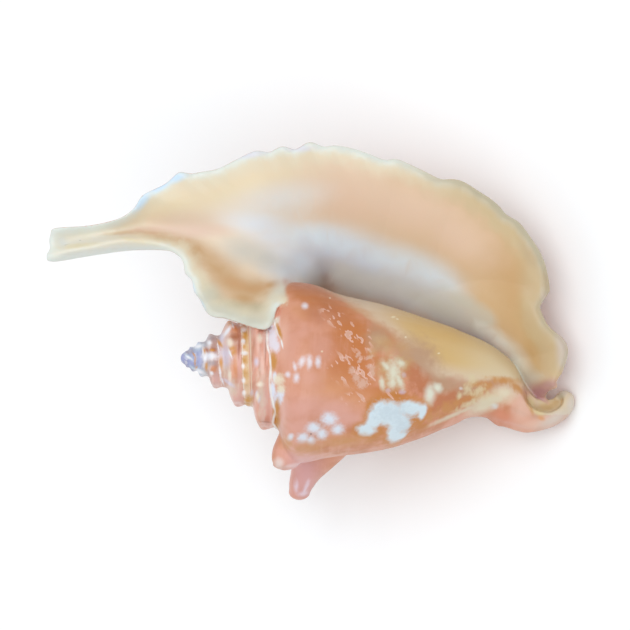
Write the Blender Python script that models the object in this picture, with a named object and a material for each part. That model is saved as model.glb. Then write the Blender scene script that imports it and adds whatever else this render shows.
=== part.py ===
"""Rooster conch shell: a large sea snail's shell, lying on its back with the opening up.

Everything is first laid out in the shell's own frame, in millimetres: X runs along the coiling
axis from the tip of the spire to the front canal, Y runs across to the flared lip, and Z runs out
of the opening. At the end the shell is turned onto the knobs of its back and set on the ground.
"""

import math

import bmesh
import bpy
import numpy as np
from mathutils import Euler, Vector
from mathutils.geometry import delaunay_2d_cdt

# Overall
MM = 0.001
AXIS_FALL_DEG = 4.0        # the coiling axis falls this much to the right in the outline below
LIP_WALL = 2.2             # thickness of the flared lip and of the last whorl
LIP_RIM_HEIGHT = 7.0       # the lip's rim above the coiling axis
KNOBS_PER_TURN = 9         # on the spire

# How finely the pieces are made and fused
LIP_SPACING = 1.4          # between the points of the lip
RAMP_SPACING = 0.7         # the same where the lip dives into the throat
BODY_SPACING = 1.2         # between the rings of the body whorl
BODY_SIDES = 96
SPIRE_SPACING = 0.35
SPIRE_SIDES = 120
VOXEL = 0.7                # grain of the fused skin
EDGE_ROUNDING = 0.25       # fusing wears the lip's edge back by this much
TRIANGLE_BUDGET = 9400

# Turn from the shell's frame to the way it lies, and how deep the tips it rests on are worn flat
REST_TURN = Euler((0.0, math.radians(26.0), 0.0), "XYZ")
WORN_DEPTH = 0.5

# Outline of the flared lip, from the broken end of the tail along the upper edge, round the lip,
# the notch and the front lobe to the canal. Points are millimetres right of and above the spire tip.
TAIL_END = [(-40.1, 30.6), (-39.1, 32.7), (-39.3, 35.3), (-38.8, 37.2), (-37.5, 38.8)]
UPPER_EDGE = [
    (-27.3, 39.6), (-18.6, 41.6), (-14.1, 44.5), (-12.2, 47.4), (-10.5, 49.1), (-4.5, 52.1),
    (-0.9, 55.2), (0.4, 55.6), (3.2, 55.1), (6.3, 55.6), (11.4, 56.6), (17.0, 59.4), (22.5, 61.9),
    (26.8, 61.6), (30.6, 63.3), (34.5, 62.4), (38.8, 64.5), (42.9, 63.2), (46.5, 63.5),
    (51.0, 62.8), (56.0, 61.2), (61.5, 59.2), (64.5, 59.5), (67.5, 58.5), (72.5, 56.1),
    (78.0, 53.5), (81.8, 53.4), (85.0, 52.6), (89.0, 50.1), (93.0, 47.5), (95.6, 45.3),
    (97.8, 42.8), (100.8, 41.0), (102.8, 39.1), (105.4, 35.4), (107.9, 31.5), (109.6, 27.0),
    (110.7, 20.9), (110.1, 19.2),
]
FRONT_EDGE = [
    (108.0, 15.9), (107.9, 14.5), (110.0, 9.9), (112.4, 7.6), (114.5, 6.0), (116.0, 3.4),
    (116.2, 1.5), (115.6, -1.2), (114.4, -4.4), (112.8, -7.0), (113.0, -8.6), (111.4, -9.6),
    (110.2, -11.6), (110.6, -13.0),
]
UNDER_BODY = [
    (108.0, -17.0), (98.0, -17.0), (88.0, -13.0), (70.0, -13.0), (55.0, -12.0), (40.0, -11.0),
    (33.5, -8.0), (33.0, 4.0), (33.0, 13.0),
]
LOBE_EDGE = [
    (31.8, 17.0), (29.2, 15.2), (28.2, 12.2), (27.4, 9.9), (25.2, 8.6), (21.0, 9.5), (16.8, 10.9),
    (13.2, 12.0), (11.0, 12.2), (8.9, 12.9), (7.5, 14.6), (5.9, 17.7), (4.3, 19.9), (3.5, 23.4),
    (1.6, 25.4), (0.9, 28.8), (-0.7, 30.9), (-4.5, 32.4),
]
TAIL_UNDERSIDE = [(-15.3, 32.4), (-27.0, 30.8), (-38.4, 29.0)]

# Relief of the tail, the gutter and the lobe over the spire, as lines of (X, Y, Z) in the shell's
# frame; the surface between them is bent smoothly through all of them
RELIEF_LINES = {
    "upper rim": [
        (-40.1, 36.0, 1.8), (-30.5, 38.6, 2.0), (-21.4, 40.2, 2.2), (-13.9, 48.2, 3.2),
        (-3.6, 55.4, 4.2), (7.4, 57.2, 4.6), (18.2, 63.0, 5.4), (26.1, 65.3, 6.0),
        (36.0, 66.0, 6.8), (46.0, 65.0, 7.0),
    ],
    "floor of the gutter": [
        (-40.4, 30.4, 0.2), (-34.0, 32.0, -0.8), (-27.9, 33.9, -1.5), (-22.2, 35.9, -1.9),
        (-17.1, 36.7, -1.9), (-5.7, 37.2, -1.5), (2.4, 37.4, -1.2), (12.6, 35.0, -1.0),
        (24.0, 32.0, -2.2), (32.0, 30.0, -6.0),
    ],
    "slope above the gutter": [
        (-8.0, 45.0, 1.4), (6.0, 47.0, 1.6), (20.0, 49.0, 1.6), (32.0, 50.0, -1.0),
    ],
    "fold under the gutter": [
        (-41.2, 27.2, 1.4), (-33.2, 31.0, 1.6), (-27.9, 32.4, 1.6), (-22.3, 34.3, 1.6),
        (-16.9, 34.9, 1.7), (-11.1, 34.2, 1.8), (-5.3, 32.4, 1.7), (-2.0, 28.6, 1.9),
        (0.5, 25.2, 2.4), (4.0, 19.5, 4.2), (7.4, 14.2, 6.4), (12.4, 12.6, 8.0),
        (17.0, 12.0, 11.0), (20.6, 11.0, 15.6), (24.4, 10.4, 18.6), (26.6, 11.6, 19.2),
        (28.0, 16.0, 18.4), (29.6, 19.4, 16.6), (30.2, 21.8, 12.0), (29.6, 24.9, 3.4),
    ],
    "underside of the tail": [
        (-36.0, 27.2, -1.0), (-30.0, 28.4, -1.6), (-17.5, 31.2, -1.6), (-9.0, 31.2, -0.6),
    ],
    "hollow of the lobe": [
        (4.0, 28.0, 1.0), (12.0, 25.6, 1.6), (18.0, 24.4, 2.2), (23.0, 24.6, 2.4),
    ],
    "slope of the lobe": [
        (9.0, 20.0, 3.8), (14.5, 17.6, 5.6), (20.0, 17.0, 9.0), (24.6, 19.0, 10.5),
    ],
}
RELIEF_STEP = 2.6          # spacing of the points taken along those lines
SLOPE_STEP = 0.2           # distance over which the lip's slope is taken

# Where the lip dives from the gutter into the throat: its start and end along the axis beside the
# whorl and further out, and the distances from the axis between which it changes
THROAT_START = (31.5, 27.5)
THROAT_END = (41.0, 46.0)
THROAT_ACROSS = (18.0, 34.0)
KEEL = 39.0                # station of the whorl's widest part, where the knobs stand
LIP_END = 116.0            # station where the lip ends beside the canal

# Body whorl and columella about the centre line: station, then the radius on the lip side, at the
# front, at the lower side, of the outer wall at the back, and of the inner wall at the back
BODY_RADII = [
    (22.0, 13.0, 12.0, 10.0, 10.0, 10.0),
    (27.0, 21.5, 18.5, 14.0, 12.0, 14.0),
    (30.0, 24.4, 21.6, 17.0, 15.5, 18.0),
    (33.0, 25.0, 24.4, 26.0, 20.5, 22.0),
    (36.0, 25.0, 25.8, 29.2, 26.8, 23.0),
    (39.0, 24.6, 26.2, 29.0, 30.6, 22.4),
    (45.0, 22.7, 24.8, 27.3, 29.8, 20.6),
    (60.0, 20.1, 21.6, 24.1, 25.6, 18.2),
    (66.0, 18.7, 20.2, 22.4, 23.6, 16.6),
    (72.6, 17.0, 18.2, 19.6, 21.2, 14.2),
    (81.0, 14.6, 15.2, 15.8, 17.4, 12.6),
    (88.7, 12.0, 12.4, 12.1, 13.8, 10.8),
    (92.7, 10.6, 11.0, 10.6, 12.6, 10.4),
    (96.7, 9.0, 9.6, 9.6, 12.0, 9.8),
    (103.0, 4.4, 8.0, 9.5, 10.0, 8.2),
    (109.1, 3.9, 5.6, 6.8, 6.6, 5.4),
    (114.4, 4.3, 4.3, 3.9, 4.2, 4.0),
    (119.2, 3.9, 3.6, 3.2, 3.4, 3.4),
    (123.0, 3.5, 2.9, 2.8, 2.7, 2.7),
    (124.6, 2.7, 2.3, 2.2, 2.2, 2.2),
    (125.6, 1.4, 1.2, 1.2, 1.2, 1.2),
]
# Centre line of the body whorl and the bent canal
CENTRE_LINE = [
    (0.0, 0.0, 0.0), (40.0, 0.0, 0.0), (70.0, 0.0, 0.0), (81.0, 0.0, 0.0), (88.7, -0.5, 0.0),
    (96.3, -2.7, -0.3), (102.0, -5.6, -0.8), (107.2, -8.8, -1.5), (112.2, -9.2, -2.2),
    (115.8, -6.6, -2.6), (116.9, -2.0, -2.6),
]
BLIND_END_DEG = (246.0, 268.0)     # where the cavity behind the opening ends
TROUGH_DIRECTION_DEG = 48.0        # side on which the canal is open
TROUGH_HALF_WIDTH_DEG = 40.0
TROUGH_DEPTH = 0.72
TROUGH_START = (101.0, 107.0)
BODY_START = 22.0          # inside the spire

# Spire: distance of each seam from the tip along the front, one whole turn apart, and the radius of
# the shell at a seam that lies so far from the tip
SEAM_STATIONS = [(0.0, 1.2), (1.0, 2.2), (2.0, 4.2), (3.0, 7.05), (4.0, 11.5), (5.0, 18.75),
                 (6.0, 28.0), (7.0, 41.0)]
SEAM_RADII = [(0.0, 0.4), (1.2, 1.7), (3.1, 3.1), (6.0, 4.6), (8.7, 6.1), (11.4, 7.6), (13.8, 9.1),
              (20.1, 13.1), (30.3, 19.6), (41.0, 23.5)]
SPIRE_OFFSET = 0.6         # the spire's middle lies this much towards the lip
SPIRE_END = 33.0           # inside the body whorl
SHOULDER_RISE = (0.2, 0.56)        # share of a whorl's height over which its shoulder rises
KNOB_PHASE = math.radians(8.0)
SPIRE_KNOB_HEIGHT = 0.07   # as a share of the whorl's height
SEAM_DEPTH = 0.02

# Shoulder knobs of the last whorl: angle, station, radius of the tip, base radius along and across,
# and how far the tip leans back towards the spire
SHOULDER_KNOBS = [
    (172.0, 36.4, 31.9, 7.2, 5.4, 4.8),
    (209.0, 43.8, 46.4, 9.4, 5.8, 7.8),
    (250.0, 42.8, 47.7, 9.2, 6.6, 6.0),
]
KNOB_FOOT = 22.0
# Knobs of the lip's back: where they stand (X, Y), how they are drawn out (X, Y, Z), and their reach
# along and across
LIP_KNOBS = [
    (42.0, 17.0, -4.0, 3.4, -16.2, 9.0, 7.6),
    (41.0, 29.0, -3.0, 2.5, -8.0, 8.0, 7.5),
    (38.0, 44.0, -2.0, 1.5, -3.5, 7.5, 7.0),
]
# Cords of the lip's back, by where they end at the rim
CORD_ENDS = (-14.0, -3.5, 2.4, 7.4, 18.1, 26.1, 34.2, 42.0, 51.0, 60.2, 69.0, 77.9, 84.0, 89.5, 97.7,
             104.0, 109.0)
CORD_HEIGHT = 0.8
CORD_WIDTH = 2.6
CORD_ROOT = 43.0           # they fan out from about this station
CORD_CROWDING = 0.43       # their spacing on the whorl, as a share of that at the rim


def ease(low, high, value):
    """Smooth step from 0 at low to 1 at high."""
    share = np.clip((np.asarray(value, dtype=float) - low) / (high - low), 0.0, 1.0)
    return share * share * (3.0 - 2.0 * share)


def smooth_curve(points, at):
    """Cubic curve through points whose first number rises; the rest are values."""
    table = np.array(points, dtype=float)
    place = table[:, 0]
    values = table[:, 1:]
    slope = np.gradient(values, place, axis=0)
    at = np.clip(np.asarray(at, dtype=float), place[0], place[-1])
    left = np.clip(np.searchsorted(place, at, side="right") - 1, 0, len(place) - 2)
    width = place[left + 1] - place[left]
    share = ((at - place[left]) / width)[..., None]
    width = width[..., None]
    low, high = values[left], values[left + 1]
    rise_low, rise_high = slope[left] * width, slope[left + 1] * width
    return (
        (2 * share**3 - 3 * share**2 + 1) * low
        + (share**3 - 2 * share**2 + share) * rise_low
        + (3 * share**2 - 2 * share**3) * high
        + (share**3 - share**2) * rise_high
    )


def to_shell(points):
    """Turn outline points into the shell's frame."""
    turn = math.radians(AXIS_FALL_DEG)
    return [
        (x * math.cos(turn) - y * math.sin(turn), x * math.sin(turn) + y * math.cos(turn))
        for x, y in points
    ]


def round_corners(points, steps=4):
    """Closed smooth line through the points."""
    count = len(points)
    line = []
    for index in range(count):
        before, start, end, after = (np.array(points[(index + k) % count]) for k in (-1, 0, 1, 2))
        for step in range(steps):
            t = step / steps
            line.append(tuple(0.5 * (
                2 * start + (end - before) * t
                + (2 * before - 5 * start + 4 * end - after) * t * t
                + (3 * start - before - 3 * end + after) * t**3
            )))
    return line


def grow(outline, by):
    """Closed outline moved outwards."""
    points = np.array(outline)
    along = np.roll(points, -1, axis=0) - np.roll(points, 1, axis=0)
    outwards = np.column_stack([-along[:, 1], along[:, 0]])
    outwards /= np.linalg.norm(outwards, axis=1)[:, None]
    return [tuple(point) for point in points + by * outwards]


def spread_along(line, spacing):
    """Points at an even spacing along a smooth line through the given ones."""
    points = np.array(line, dtype=float)
    lengths = np.concatenate([[0.0], np.cumsum(np.linalg.norm(np.diff(points, axis=0), axis=1))])
    count = max(int(round(lengths[-1] / spacing)), 1) + 1
    return smooth_curve(np.column_stack([lengths, points]), np.linspace(0.0, lengths[-1], count))


def distance_to_line(points, line):
    """Distance from each point to an open line in the plane."""
    points = np.asarray(points, dtype=float)
    nearest = np.full(len(points), 1e9)
    for start, end in zip(line[:-1], line[1:]):
        start, end = np.array(start), np.array(end)
        along = end - start
        share = np.clip(((points - start) @ along) / max(along @ along, 1e-9), 0.0, 1.0)
        gap = np.linalg.norm(points - (start + share[:, None] * along), axis=1)
        nearest = np.minimum(nearest, gap)
    return nearest


def inside(points, outline):
    """True for the points inside a closed outline."""
    points = np.asarray(points, dtype=float)
    crossed = np.zeros(len(points), dtype=bool)
    for (x1, y1), (x2, y2) in zip(outline, outline[1:] + outline[:1]):
        if y1 == y2:
            continue
        spans = (points[:, 1] >= min(y1, y2)) & (points[:, 1] < max(y1, y2))
        crossing = x1 + (points[:, 1] - y1) * (x2 - x1) / (y2 - y1)
        crossed ^= spans & (points[:, 0] < crossing)
    return crossed


class Relief:
    """Smooth surface through scattered heights, as a bent thin plate takes them."""

    def __init__(self, lines):
        table = np.concatenate([spread_along(line, RELIEF_STEP) for line in lines.values()])
        self.places = table[:, :2]
        count = len(table)
        system = np.zeros((count + 3, count + 3))
        system[:count, :count] = self.bend(self.places)
        system[:count, count] = 1.0
        system[:count, count + 1:] = self.places
        system[count:, :count] = system[:count, count:].T
        right = np.concatenate([table[:, 2], np.zeros(3)])
        self.weights = np.linalg.solve(system, right)

    def bend(self, points):
        gap = np.linalg.norm(points[:, None, :] - self.places[None, :, :], axis=2)
        return gap**2 * np.log(np.maximum(gap, 1e-9))

    def __call__(self, points):
        count = len(self.places)
        flat = self.weights[count] + points @ self.weights[count + 1:]
        return self.bend(points) @ self.weights[:count] + flat


def rim_line():
    """The lip's free edge from the tail to the front notch."""
    return to_shell(UPPER_EDGE + FRONT_EDGE[:10])


def opening_height(points, rim):
    """Height of the lip's inner face in the opening: flat beside the whorl, then up to the rim."""
    along, across = points[:, 0], points[:, 1]
    centre = smooth_curve(CENTRE_LINE, np.clip(along, 0.0, LIP_END))[:, 0]
    back = smooth_curve(BODY_RADII, np.clip(along, KEEL, LIP_END))[:, 3]
    from_body = np.maximum(across - centre, 0.0)
    share = from_body / np.maximum(from_body + distance_to_line(points, rim), 1e-6)
    below = np.minimum(np.maximum(centre - across, 0.0) / back, 0.98)
    floor = -(back - LIP_WALL) * np.sqrt(1.0 - below**2)
    return floor + (LIP_RIM_HEIGHT - floor) * ease(0.1, 1.0, share)


def lip_height(points, rim, relief):
    """Height of the whole inner face: tail, gutter and lobe, blended into the opening."""
    outer = ease(*THROAT_ACROSS, points[:, 1])
    start = THROAT_START[0] + (THROAT_START[1] - THROAT_START[0]) * outer
    end = THROAT_END[0] + (THROAT_END[1] - THROAT_END[0]) * outer
    blend = ease(0.0, 1.0, (points[:, 0] - start) / (end - start))
    gutter = relief(points)
    return gutter + (opening_height(points, rim) - gutter) * blend


def cord_height(points, rim):
    """Height of the spiral cords that fan out over the lip's back to the scallops of its rim."""
    along, across = points[:, 0], np.maximum(points[:, 1], 0.0)
    share = across / np.maximum(across + distance_to_line(points, rim), 1e-6)
    fan = share**1.3
    end = (along - CORD_ROOT * (1.0 - fan)) / (CORD_CROWDING + (1.0 - CORD_CROWDING) * fan)
    height = np.zeros(len(points))
    for cord in CORD_ENDS:
        height = np.maximum(height, np.exp(-((end - cord) / CORD_WIDTH) ** 2))
    return CORD_HEIGHT * height * ease(0.05, 0.7, share)


def keel_height(points, rim):
    """How low the lip's back may reach beside the whorl, so that it follows the shoulder."""
    at_keel = np.column_stack([np.maximum(points[:, 0], KEEL), points[:, 1]])
    lowest = opening_height(at_keel, rim) - 1.3 * LIP_WALL
    back = smooth_curve(BODY_RADII, np.clip(points[:, 0], 30.0, KEEL))[:, 3]
    lowest = lowest * back / smooth_curve(BODY_RADII, KEEL)[3]
    return lowest - 60.0 * ease(THROAT_ACROSS[0], 30.0, points[:, 1])


def lip_places(outline, spacing):
    """Points that fill the lip's outline evenly, closer together on the dive into the throat."""
    low, high = np.min(outline, axis=0), np.max(outline, axis=0)
    inner = []
    for row, y in enumerate(np.arange(low[1], high[1], spacing * math.sqrt(3) / 2)):
        shift = 0.5 * spacing * (row % 2)
        inner += [(x, y) for x in np.arange(low[0] + shift, high[0], spacing)]
    inner = np.array(inner)
    dive = (inner[:, 0] > THROAT_START[1]) & (inner[:, 0] < THROAT_END[1])
    dive &= inner[:, 1] < THROAT_ACROSS[1]
    inner = np.concatenate([inner, inner[dive] + (RAMP_SPACING, 0.0)])
    edge = outline + outline[:1]
    keep = inside(inner, outline) & (distance_to_line(inner, edge) > 0.45 * spacing)
    return inner[keep]


def lip_mesh(spacing):
    """Flared lip, tail and lobe: one sheet of even thickness, cut to its outline."""
    outline = grow(round_corners(to_shell(
        TAIL_END + UPPER_EDGE + FRONT_EDGE + UNDER_BODY + LOBE_EDGE + TAIL_UNDERSIDE
    )), EDGE_ROUNDING)
    flat = [Vector(point) for point in outline + list(lip_places(outline, spacing))]
    borders = [(k, (k + 1) % len(outline)) for k in range(len(outline))]
    places, _, faces, *_ = delaunay_2d_cdt(flat, borders, [], 1, 1e-5)
    places = np.array([tuple(place) for place in places])

    rim = rim_line()
    relief = Relief(RELIEF_LINES)
    heights = lip_height(places, rim, relief)
    slope_x = lip_height(places + (SLOPE_STEP, 0.0), rim, relief) - heights
    slope_y = lip_height(places + (0.0, SLOPE_STEP), rim, relief) - heights
    steepness = np.sqrt(1.0 + (slope_x**2 + slope_y**2) / SLOPE_STEP**2)
    steepest = 1.25 + 3.75 * ease(14.0, 28.0, places[:, 0])
    wall = LIP_WALL * np.minimum(steepness, steepest)
    to_edge = distance_to_line(places, outline + outline[:1])
    trim = 0.3 * LIP_WALL * (1.0 - ease(0.0, 0.6 * LIP_WALL, to_edge))
    under = heights - wall + trim - cord_height(places, rim)
    under = np.maximum(under, np.minimum(keel_height(places, rim), heights - LIP_WALL))
    outer = np.column_stack([places, under])
    for knob in LIP_KNOBS:
        away = (places - knob[:2]) / knob[5:]
        pull = np.maximum(1.0 - (away**2).sum(axis=1), 0.0) ** 1.6
        outer += pull[:, None] * np.array(knob[2:5])
    return sheet_solid(np.column_stack([places, heights - trim]), outer, faces)


def sheet_solid(front_points, back_points, faces):
    """Closed solid between two faces of the same triangles."""
    bm = bmesh.new()
    front = [bm.verts.new(point) for point in front_points]
    back = [bm.verts.new(point) for point in back_points]
    sides = set()
    for face in faces:
        a, b, c = (front_points[k][:2] for k in face)
        turns_left = (b[0] - a[0]) * (c[1] - a[1]) > (b[1] - a[1]) * (c[0] - a[0])
        face = face if turns_left else face[::-1]
        bm.faces.new([front[k] for k in face])
        bm.faces.new([back[k] for k in reversed(face)])
        sides.update(zip(face, face[1:] + face[:1]))
    for a, b in sorted(sides):
        if (b, a) not in sides:
            bm.faces.new((front[b], front[a], back[a], back[b]))
    return bm


def ring_solid(rings):
    """Closed solid through rings of points, with both ends filled."""
    bm = bmesh.new()
    loops = [[bm.verts.new(point) for point in ring] for ring in rings]
    count = len(loops[0])
    for near, far in zip(loops[:-1], loops[1:]):
        for k in range(count):
            bm.faces.new((near[k], near[(k + 1) % count], far[(k + 1) % count], far[k]))
    bm.faces.new(reversed(loops[0]))
    bm.faces.new(loops[-1])
    bmesh.ops.recalc_face_normals(bm, faces=bm.faces)
    return bm


def body_radius(station, angle):
    """Radius of the body whorl at angles from the lip side, through the front."""
    lip, front, lower, back, inner = smooth_curve(BODY_RADII, station)
    along, out = np.cos(angle) ** 2, np.sin(angle) ** 2
    lip_side = np.cos(angle) > 0.0
    front_half = np.where(lip_side, lip, lower) * along + front * out
    outer = np.where(lip_side, back, lower * along + back * out)
    hidden = np.where(lip_side, lip * along**2 + inner * (1.0 - along**2), lower * along + inner * out)
    turn = ease(*BLIND_END_DEG, np.degrees(angle))
    return np.where(np.sin(angle) >= 0.0, front_half, outer + (hidden - outer) * turn)


def canal_trough(station, angle):
    """Share of the radius left where the canal is open."""
    depth = TROUGH_DEPTH * ease(*TROUGH_START, station)
    away = np.abs((np.degrees(angle) - TROUGH_DIRECTION_DEG + 180.0) % 360.0 - 180.0)
    return 1.0 - depth * (1.0 - ease(0.35, 1.0, away / TROUGH_HALF_WIDTH_DEG))


def body_mesh(spacing, sides):
    """Body whorl, columella and hooked canal, in rings along the centre line."""
    path = spread_along(CENTRE_LINE, 0.3)
    steps = np.linalg.norm(np.diff(path, axis=0), axis=1)
    lengths = np.concatenate([[0.0], np.cumsum(steps)])
    ahead = np.gradient(path, lengths, axis=0)
    angle = 2.0 * math.pi * np.arange(sides) / sides
    rings = []
    count = int((lengths[-1] - BODY_START) / spacing)
    for station in np.linspace(BODY_START, lengths[-1], count):
        place, direction = (
            np.array([np.interp(station, lengths, line[:, k]) for k in range(3)])
            for line in (path, ahead)
        )
        across = np.cross((0.0, 0.0, 1.0), direction)
        across /= np.linalg.norm(across)
        outward = np.cross(direction, across)
        radius = body_radius(station, angle) * canal_trough(station, angle)
        ring = np.outer(radius * np.cos(angle), across) + np.outer(radius * np.sin(angle), outward)
        rings.append(place + ring)
    return ring_solid(rings)


def spire_radius(station, angle):
    """Radius of the stepped, knobbed spire at angles from the lip side, through the front."""
    turns = np.linspace(0.0, SEAM_STATIONS[-1][0], 1401)
    seams = smooth_curve(SEAM_STATIONS, turns)[:, 0]
    turned = angle / (2.0 * math.pi) - 0.25
    grown = np.interp(station, seams, turns) - turned
    whorl = np.floor(grown)
    share = grown - whorl
    near = np.interp(whorl + turned, turns, seams)
    far = np.interp(whorl + 1.0 + turned, turns, seams)
    radius_near = smooth_curve(SEAM_RADII, near)[:, 0]
    radius_far = smooth_curve(SEAM_RADII, far)[:, 0]
    radius = radius_near + (radius_far - radius_near) * ease(*SHOULDER_RISE, share)
    wave = np.cos(KNOBS_PER_TURN * (angle + KNOB_PHASE))
    knob = np.maximum(0.35 + 0.65 * wave, 0.0) * np.exp(-((share - 0.66) / 0.15) ** 2)
    seam = np.exp(-(np.minimum(share, 1.0 - share) / 0.05) ** 2)
    height = far - near
    return np.maximum(radius + height * (SPIRE_KNOB_HEIGHT * knob - SEAM_DEPTH * seam), 0.05)


def spire_mesh(spacing, sides):
    """Spire, from the tip to inside the body whorl."""
    angle = 2.0 * math.pi * np.arange(sides) / sides
    rings = []
    for station in np.concatenate([[0.02, 0.15, 0.4], np.arange(0.8, SPIRE_END, spacing)]):
        radius = spire_radius(station, angle)
        middle = SPIRE_OFFSET * ease(2.0, 8.0, station)
        rings.append(np.column_stack([
            np.full(sides, station), middle + radius * np.cos(angle), radius * np.sin(angle),
        ]))
    return ring_solid(rings)


def knob_mesh(angle_deg, station, tip, along, across, lean, steps=12, sides=24):
    """One blunt knob of the shoulder, standing on the body whorl."""
    angle = math.radians(angle_deg)
    out = np.array([0.0, math.cos(angle), math.sin(angle)])
    side = np.array([0.0, -math.sin(angle), math.cos(angle)])
    axial = np.array([1.0, 0.0, 0.0])
    around = 2.0 * math.pi * np.arange(sides) / sides
    rings = []
    for share in np.linspace(0.0, 1.0, steps + 1):
        width = max(0.48 * math.sqrt(1.0 - share**4) + 0.52 * (1.0 - share) ** 1.25, 0.03)
        height = KNOB_FOOT + (tip - KNOB_FOOT) * share
        centre = axial * (station - lean * (1.0 - width)) + out * height
        oval = np.outer(along * np.cos(around), axial) + np.outer(across * np.sin(around), side)
        rings.append(centre + width * oval)
    return ring_solid(rings)


def join(name, solids):
    """One object out of several closed solids."""
    whole = bmesh.new()
    for solid in solids:
        mesh = bpy.data.meshes.new("piece")
        solid.to_mesh(mesh)
        solid.free()
        whole.from_mesh(mesh)
        bpy.data.meshes.remove(mesh)
    mesh = bpy.data.meshes.new(name)
    whole.to_mesh(mesh)
    whole.free()
    shell = bpy.data.objects.new(name, mesh)
    bpy.context.scene.collection.objects.link(shell)
    return shell


def settle(shell):
    """Replace the shell's mesh by what its modifiers make of it."""
    evaluated = shell.evaluated_get(bpy.context.evaluated_depsgraph_get())
    mesh = bpy.data.meshes.new_from_object(evaluated)
    shell.modifiers.clear()
    before = shell.data
    shell.data = mesh
    bpy.data.meshes.remove(before)
    mesh.name = shell.name
    mesh.calc_loop_triangles()
    return len(mesh.loop_triangles)


def fuse(shell):
    """Grow the pieces together in one smooth skin with few faces."""
    skin = shell.modifiers.new("fuse", "REMESH")
    skin.mode = "VOXEL"
    skin.voxel_size = VOXEL
    soften = shell.modifiers.new("soften", "SMOOTH")
    soften.factor = 0.5
    soften.iterations = 3
    count = settle(shell)
    thin = shell.modifiers.new("thin", "DECIMATE")
    thin.ratio = TRIANGLE_BUDGET / count
    settle(shell)


def lay_down(shell):
    """Turn the shell onto the tips it rests on, wear them flat and centre it over the origin."""
    bm = bmesh.new()
    bm.from_mesh(shell.data)
    bmesh.ops.rotate(bm, verts=bm.verts, matrix=REST_TURN.to_matrix())
    ground = min(vert.co.z for vert in bm.verts) + WORN_DEPTH
    everything = bm.verts[:] + bm.edges[:] + bm.faces[:]
    bmesh.ops.bisect_plane(
        bm, geom=everything, dist=1e-5, plane_co=(0.0, 0.0, ground), plane_no=(0.0, 0.0, -1.0),
        clear_outer=True,
    )
    rims = [edge for edge in bm.edges if edge.is_boundary]
    bmesh.ops.holes_fill(bm, edges=rims)
    bmesh.ops.triangulate(bm, faces=bm.faces)
    bmesh.ops.recalc_face_normals(bm, faces=bm.faces)
    low = [min(vert.co[k] for vert in bm.verts) for k in range(3)]
    high = [max(vert.co[k] for vert in bm.verts) for k in range(3)]
    shift = -Vector(((low[0] + high[0]) / 2, (low[1] + high[1]) / 2, low[2]))
    bmesh.ops.translate(bm, verts=bm.verts, vec=shift)
    bmesh.ops.scale(bm, verts=bm.verts, vec=(MM, MM, MM))
    bm.to_mesh(shell.data)
    bm.free()
    return shift * MM


def shell_material():
    material = bpy.data.materials.new("glossy shell")
    material.use_nodes = True
    surface = material.node_tree.nodes["Principled BSDF"]
    surface.inputs["Base Color"].default_value = (0.72, 0.43, 0.27, 1.0)
    surface.inputs["Roughness"].default_value = 0.32
    surface.inputs["Metallic"].default_value = 0.0
    return material


def main():
    for old in list(bpy.data.objects):
        bpy.data.objects.remove(old)
    solids = [
        lip_mesh(LIP_SPACING),
        body_mesh(BODY_SPACING, BODY_SIDES),
        spire_mesh(SPIRE_SPACING, SPIRE_SIDES),
    ]
    solids += [knob_mesh(*knob) for knob in SHOULDER_KNOBS]
    shell = join("shell", solids)
    fuse(shell)
    tip = lay_down(shell)
    shell.data.shade_smooth()
    shell.data.materials.append(shell_material())
    return shell, tip


shell, tip = main()
print("The tip of the spire lies at", [round(value, 5) for value in tip])
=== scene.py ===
import math
import time

import bmesh
import bpy
import numpy as np
from mathutils import Euler, Matrix, Vector
from mathutils.geometry import delaunay_2d_cdt


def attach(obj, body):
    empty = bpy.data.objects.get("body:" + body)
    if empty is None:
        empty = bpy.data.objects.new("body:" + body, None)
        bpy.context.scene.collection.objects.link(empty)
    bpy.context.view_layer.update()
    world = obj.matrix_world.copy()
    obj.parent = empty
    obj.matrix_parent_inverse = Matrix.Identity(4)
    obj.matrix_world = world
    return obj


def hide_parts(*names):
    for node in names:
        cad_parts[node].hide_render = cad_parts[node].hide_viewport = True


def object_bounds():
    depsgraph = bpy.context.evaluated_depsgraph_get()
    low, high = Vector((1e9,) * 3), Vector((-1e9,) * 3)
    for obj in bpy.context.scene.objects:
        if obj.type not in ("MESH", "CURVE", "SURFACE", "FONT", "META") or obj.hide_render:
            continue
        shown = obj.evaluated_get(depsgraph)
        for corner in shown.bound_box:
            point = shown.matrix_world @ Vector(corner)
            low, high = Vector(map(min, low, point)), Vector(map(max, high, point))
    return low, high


startTime = time.time()
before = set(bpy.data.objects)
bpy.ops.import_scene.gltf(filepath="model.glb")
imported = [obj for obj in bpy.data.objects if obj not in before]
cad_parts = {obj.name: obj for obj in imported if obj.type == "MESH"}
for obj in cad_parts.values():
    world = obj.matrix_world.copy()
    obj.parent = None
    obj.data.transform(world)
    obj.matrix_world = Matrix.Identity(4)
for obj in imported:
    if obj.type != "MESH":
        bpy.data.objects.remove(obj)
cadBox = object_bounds()
mm = 0.001

# The shell's own frame, in millimetres: X from the tip of the spire along the coiling axis to the
# canal, Y across to the flared lip, Z out of the opening. Outlines are written as the shell is seen
# into its opening: millimetres right of and above the tip, where the axis falls a little.
whole = {
    "axisFall": 4.0,                 # degrees that the coiling axis falls to the right in those outlines
    "restTurn": 26.0,                # degrees about Y from the shell's frame to the way it lies
    "tip": (-0.03439, -0.01335, 0.05612),   # where the tip of the spire comes to lie, in metres
    "grain": 0.38,                   # of the skin that fuses the pieces
    "softening": 4,                  # passes that smooth that skin
    "softness": 0.5,                 # and how far each goes
    "triangles": 192000,
    "spinRadius": 16.0,              # radius on which patterns run round the axis
}


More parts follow.
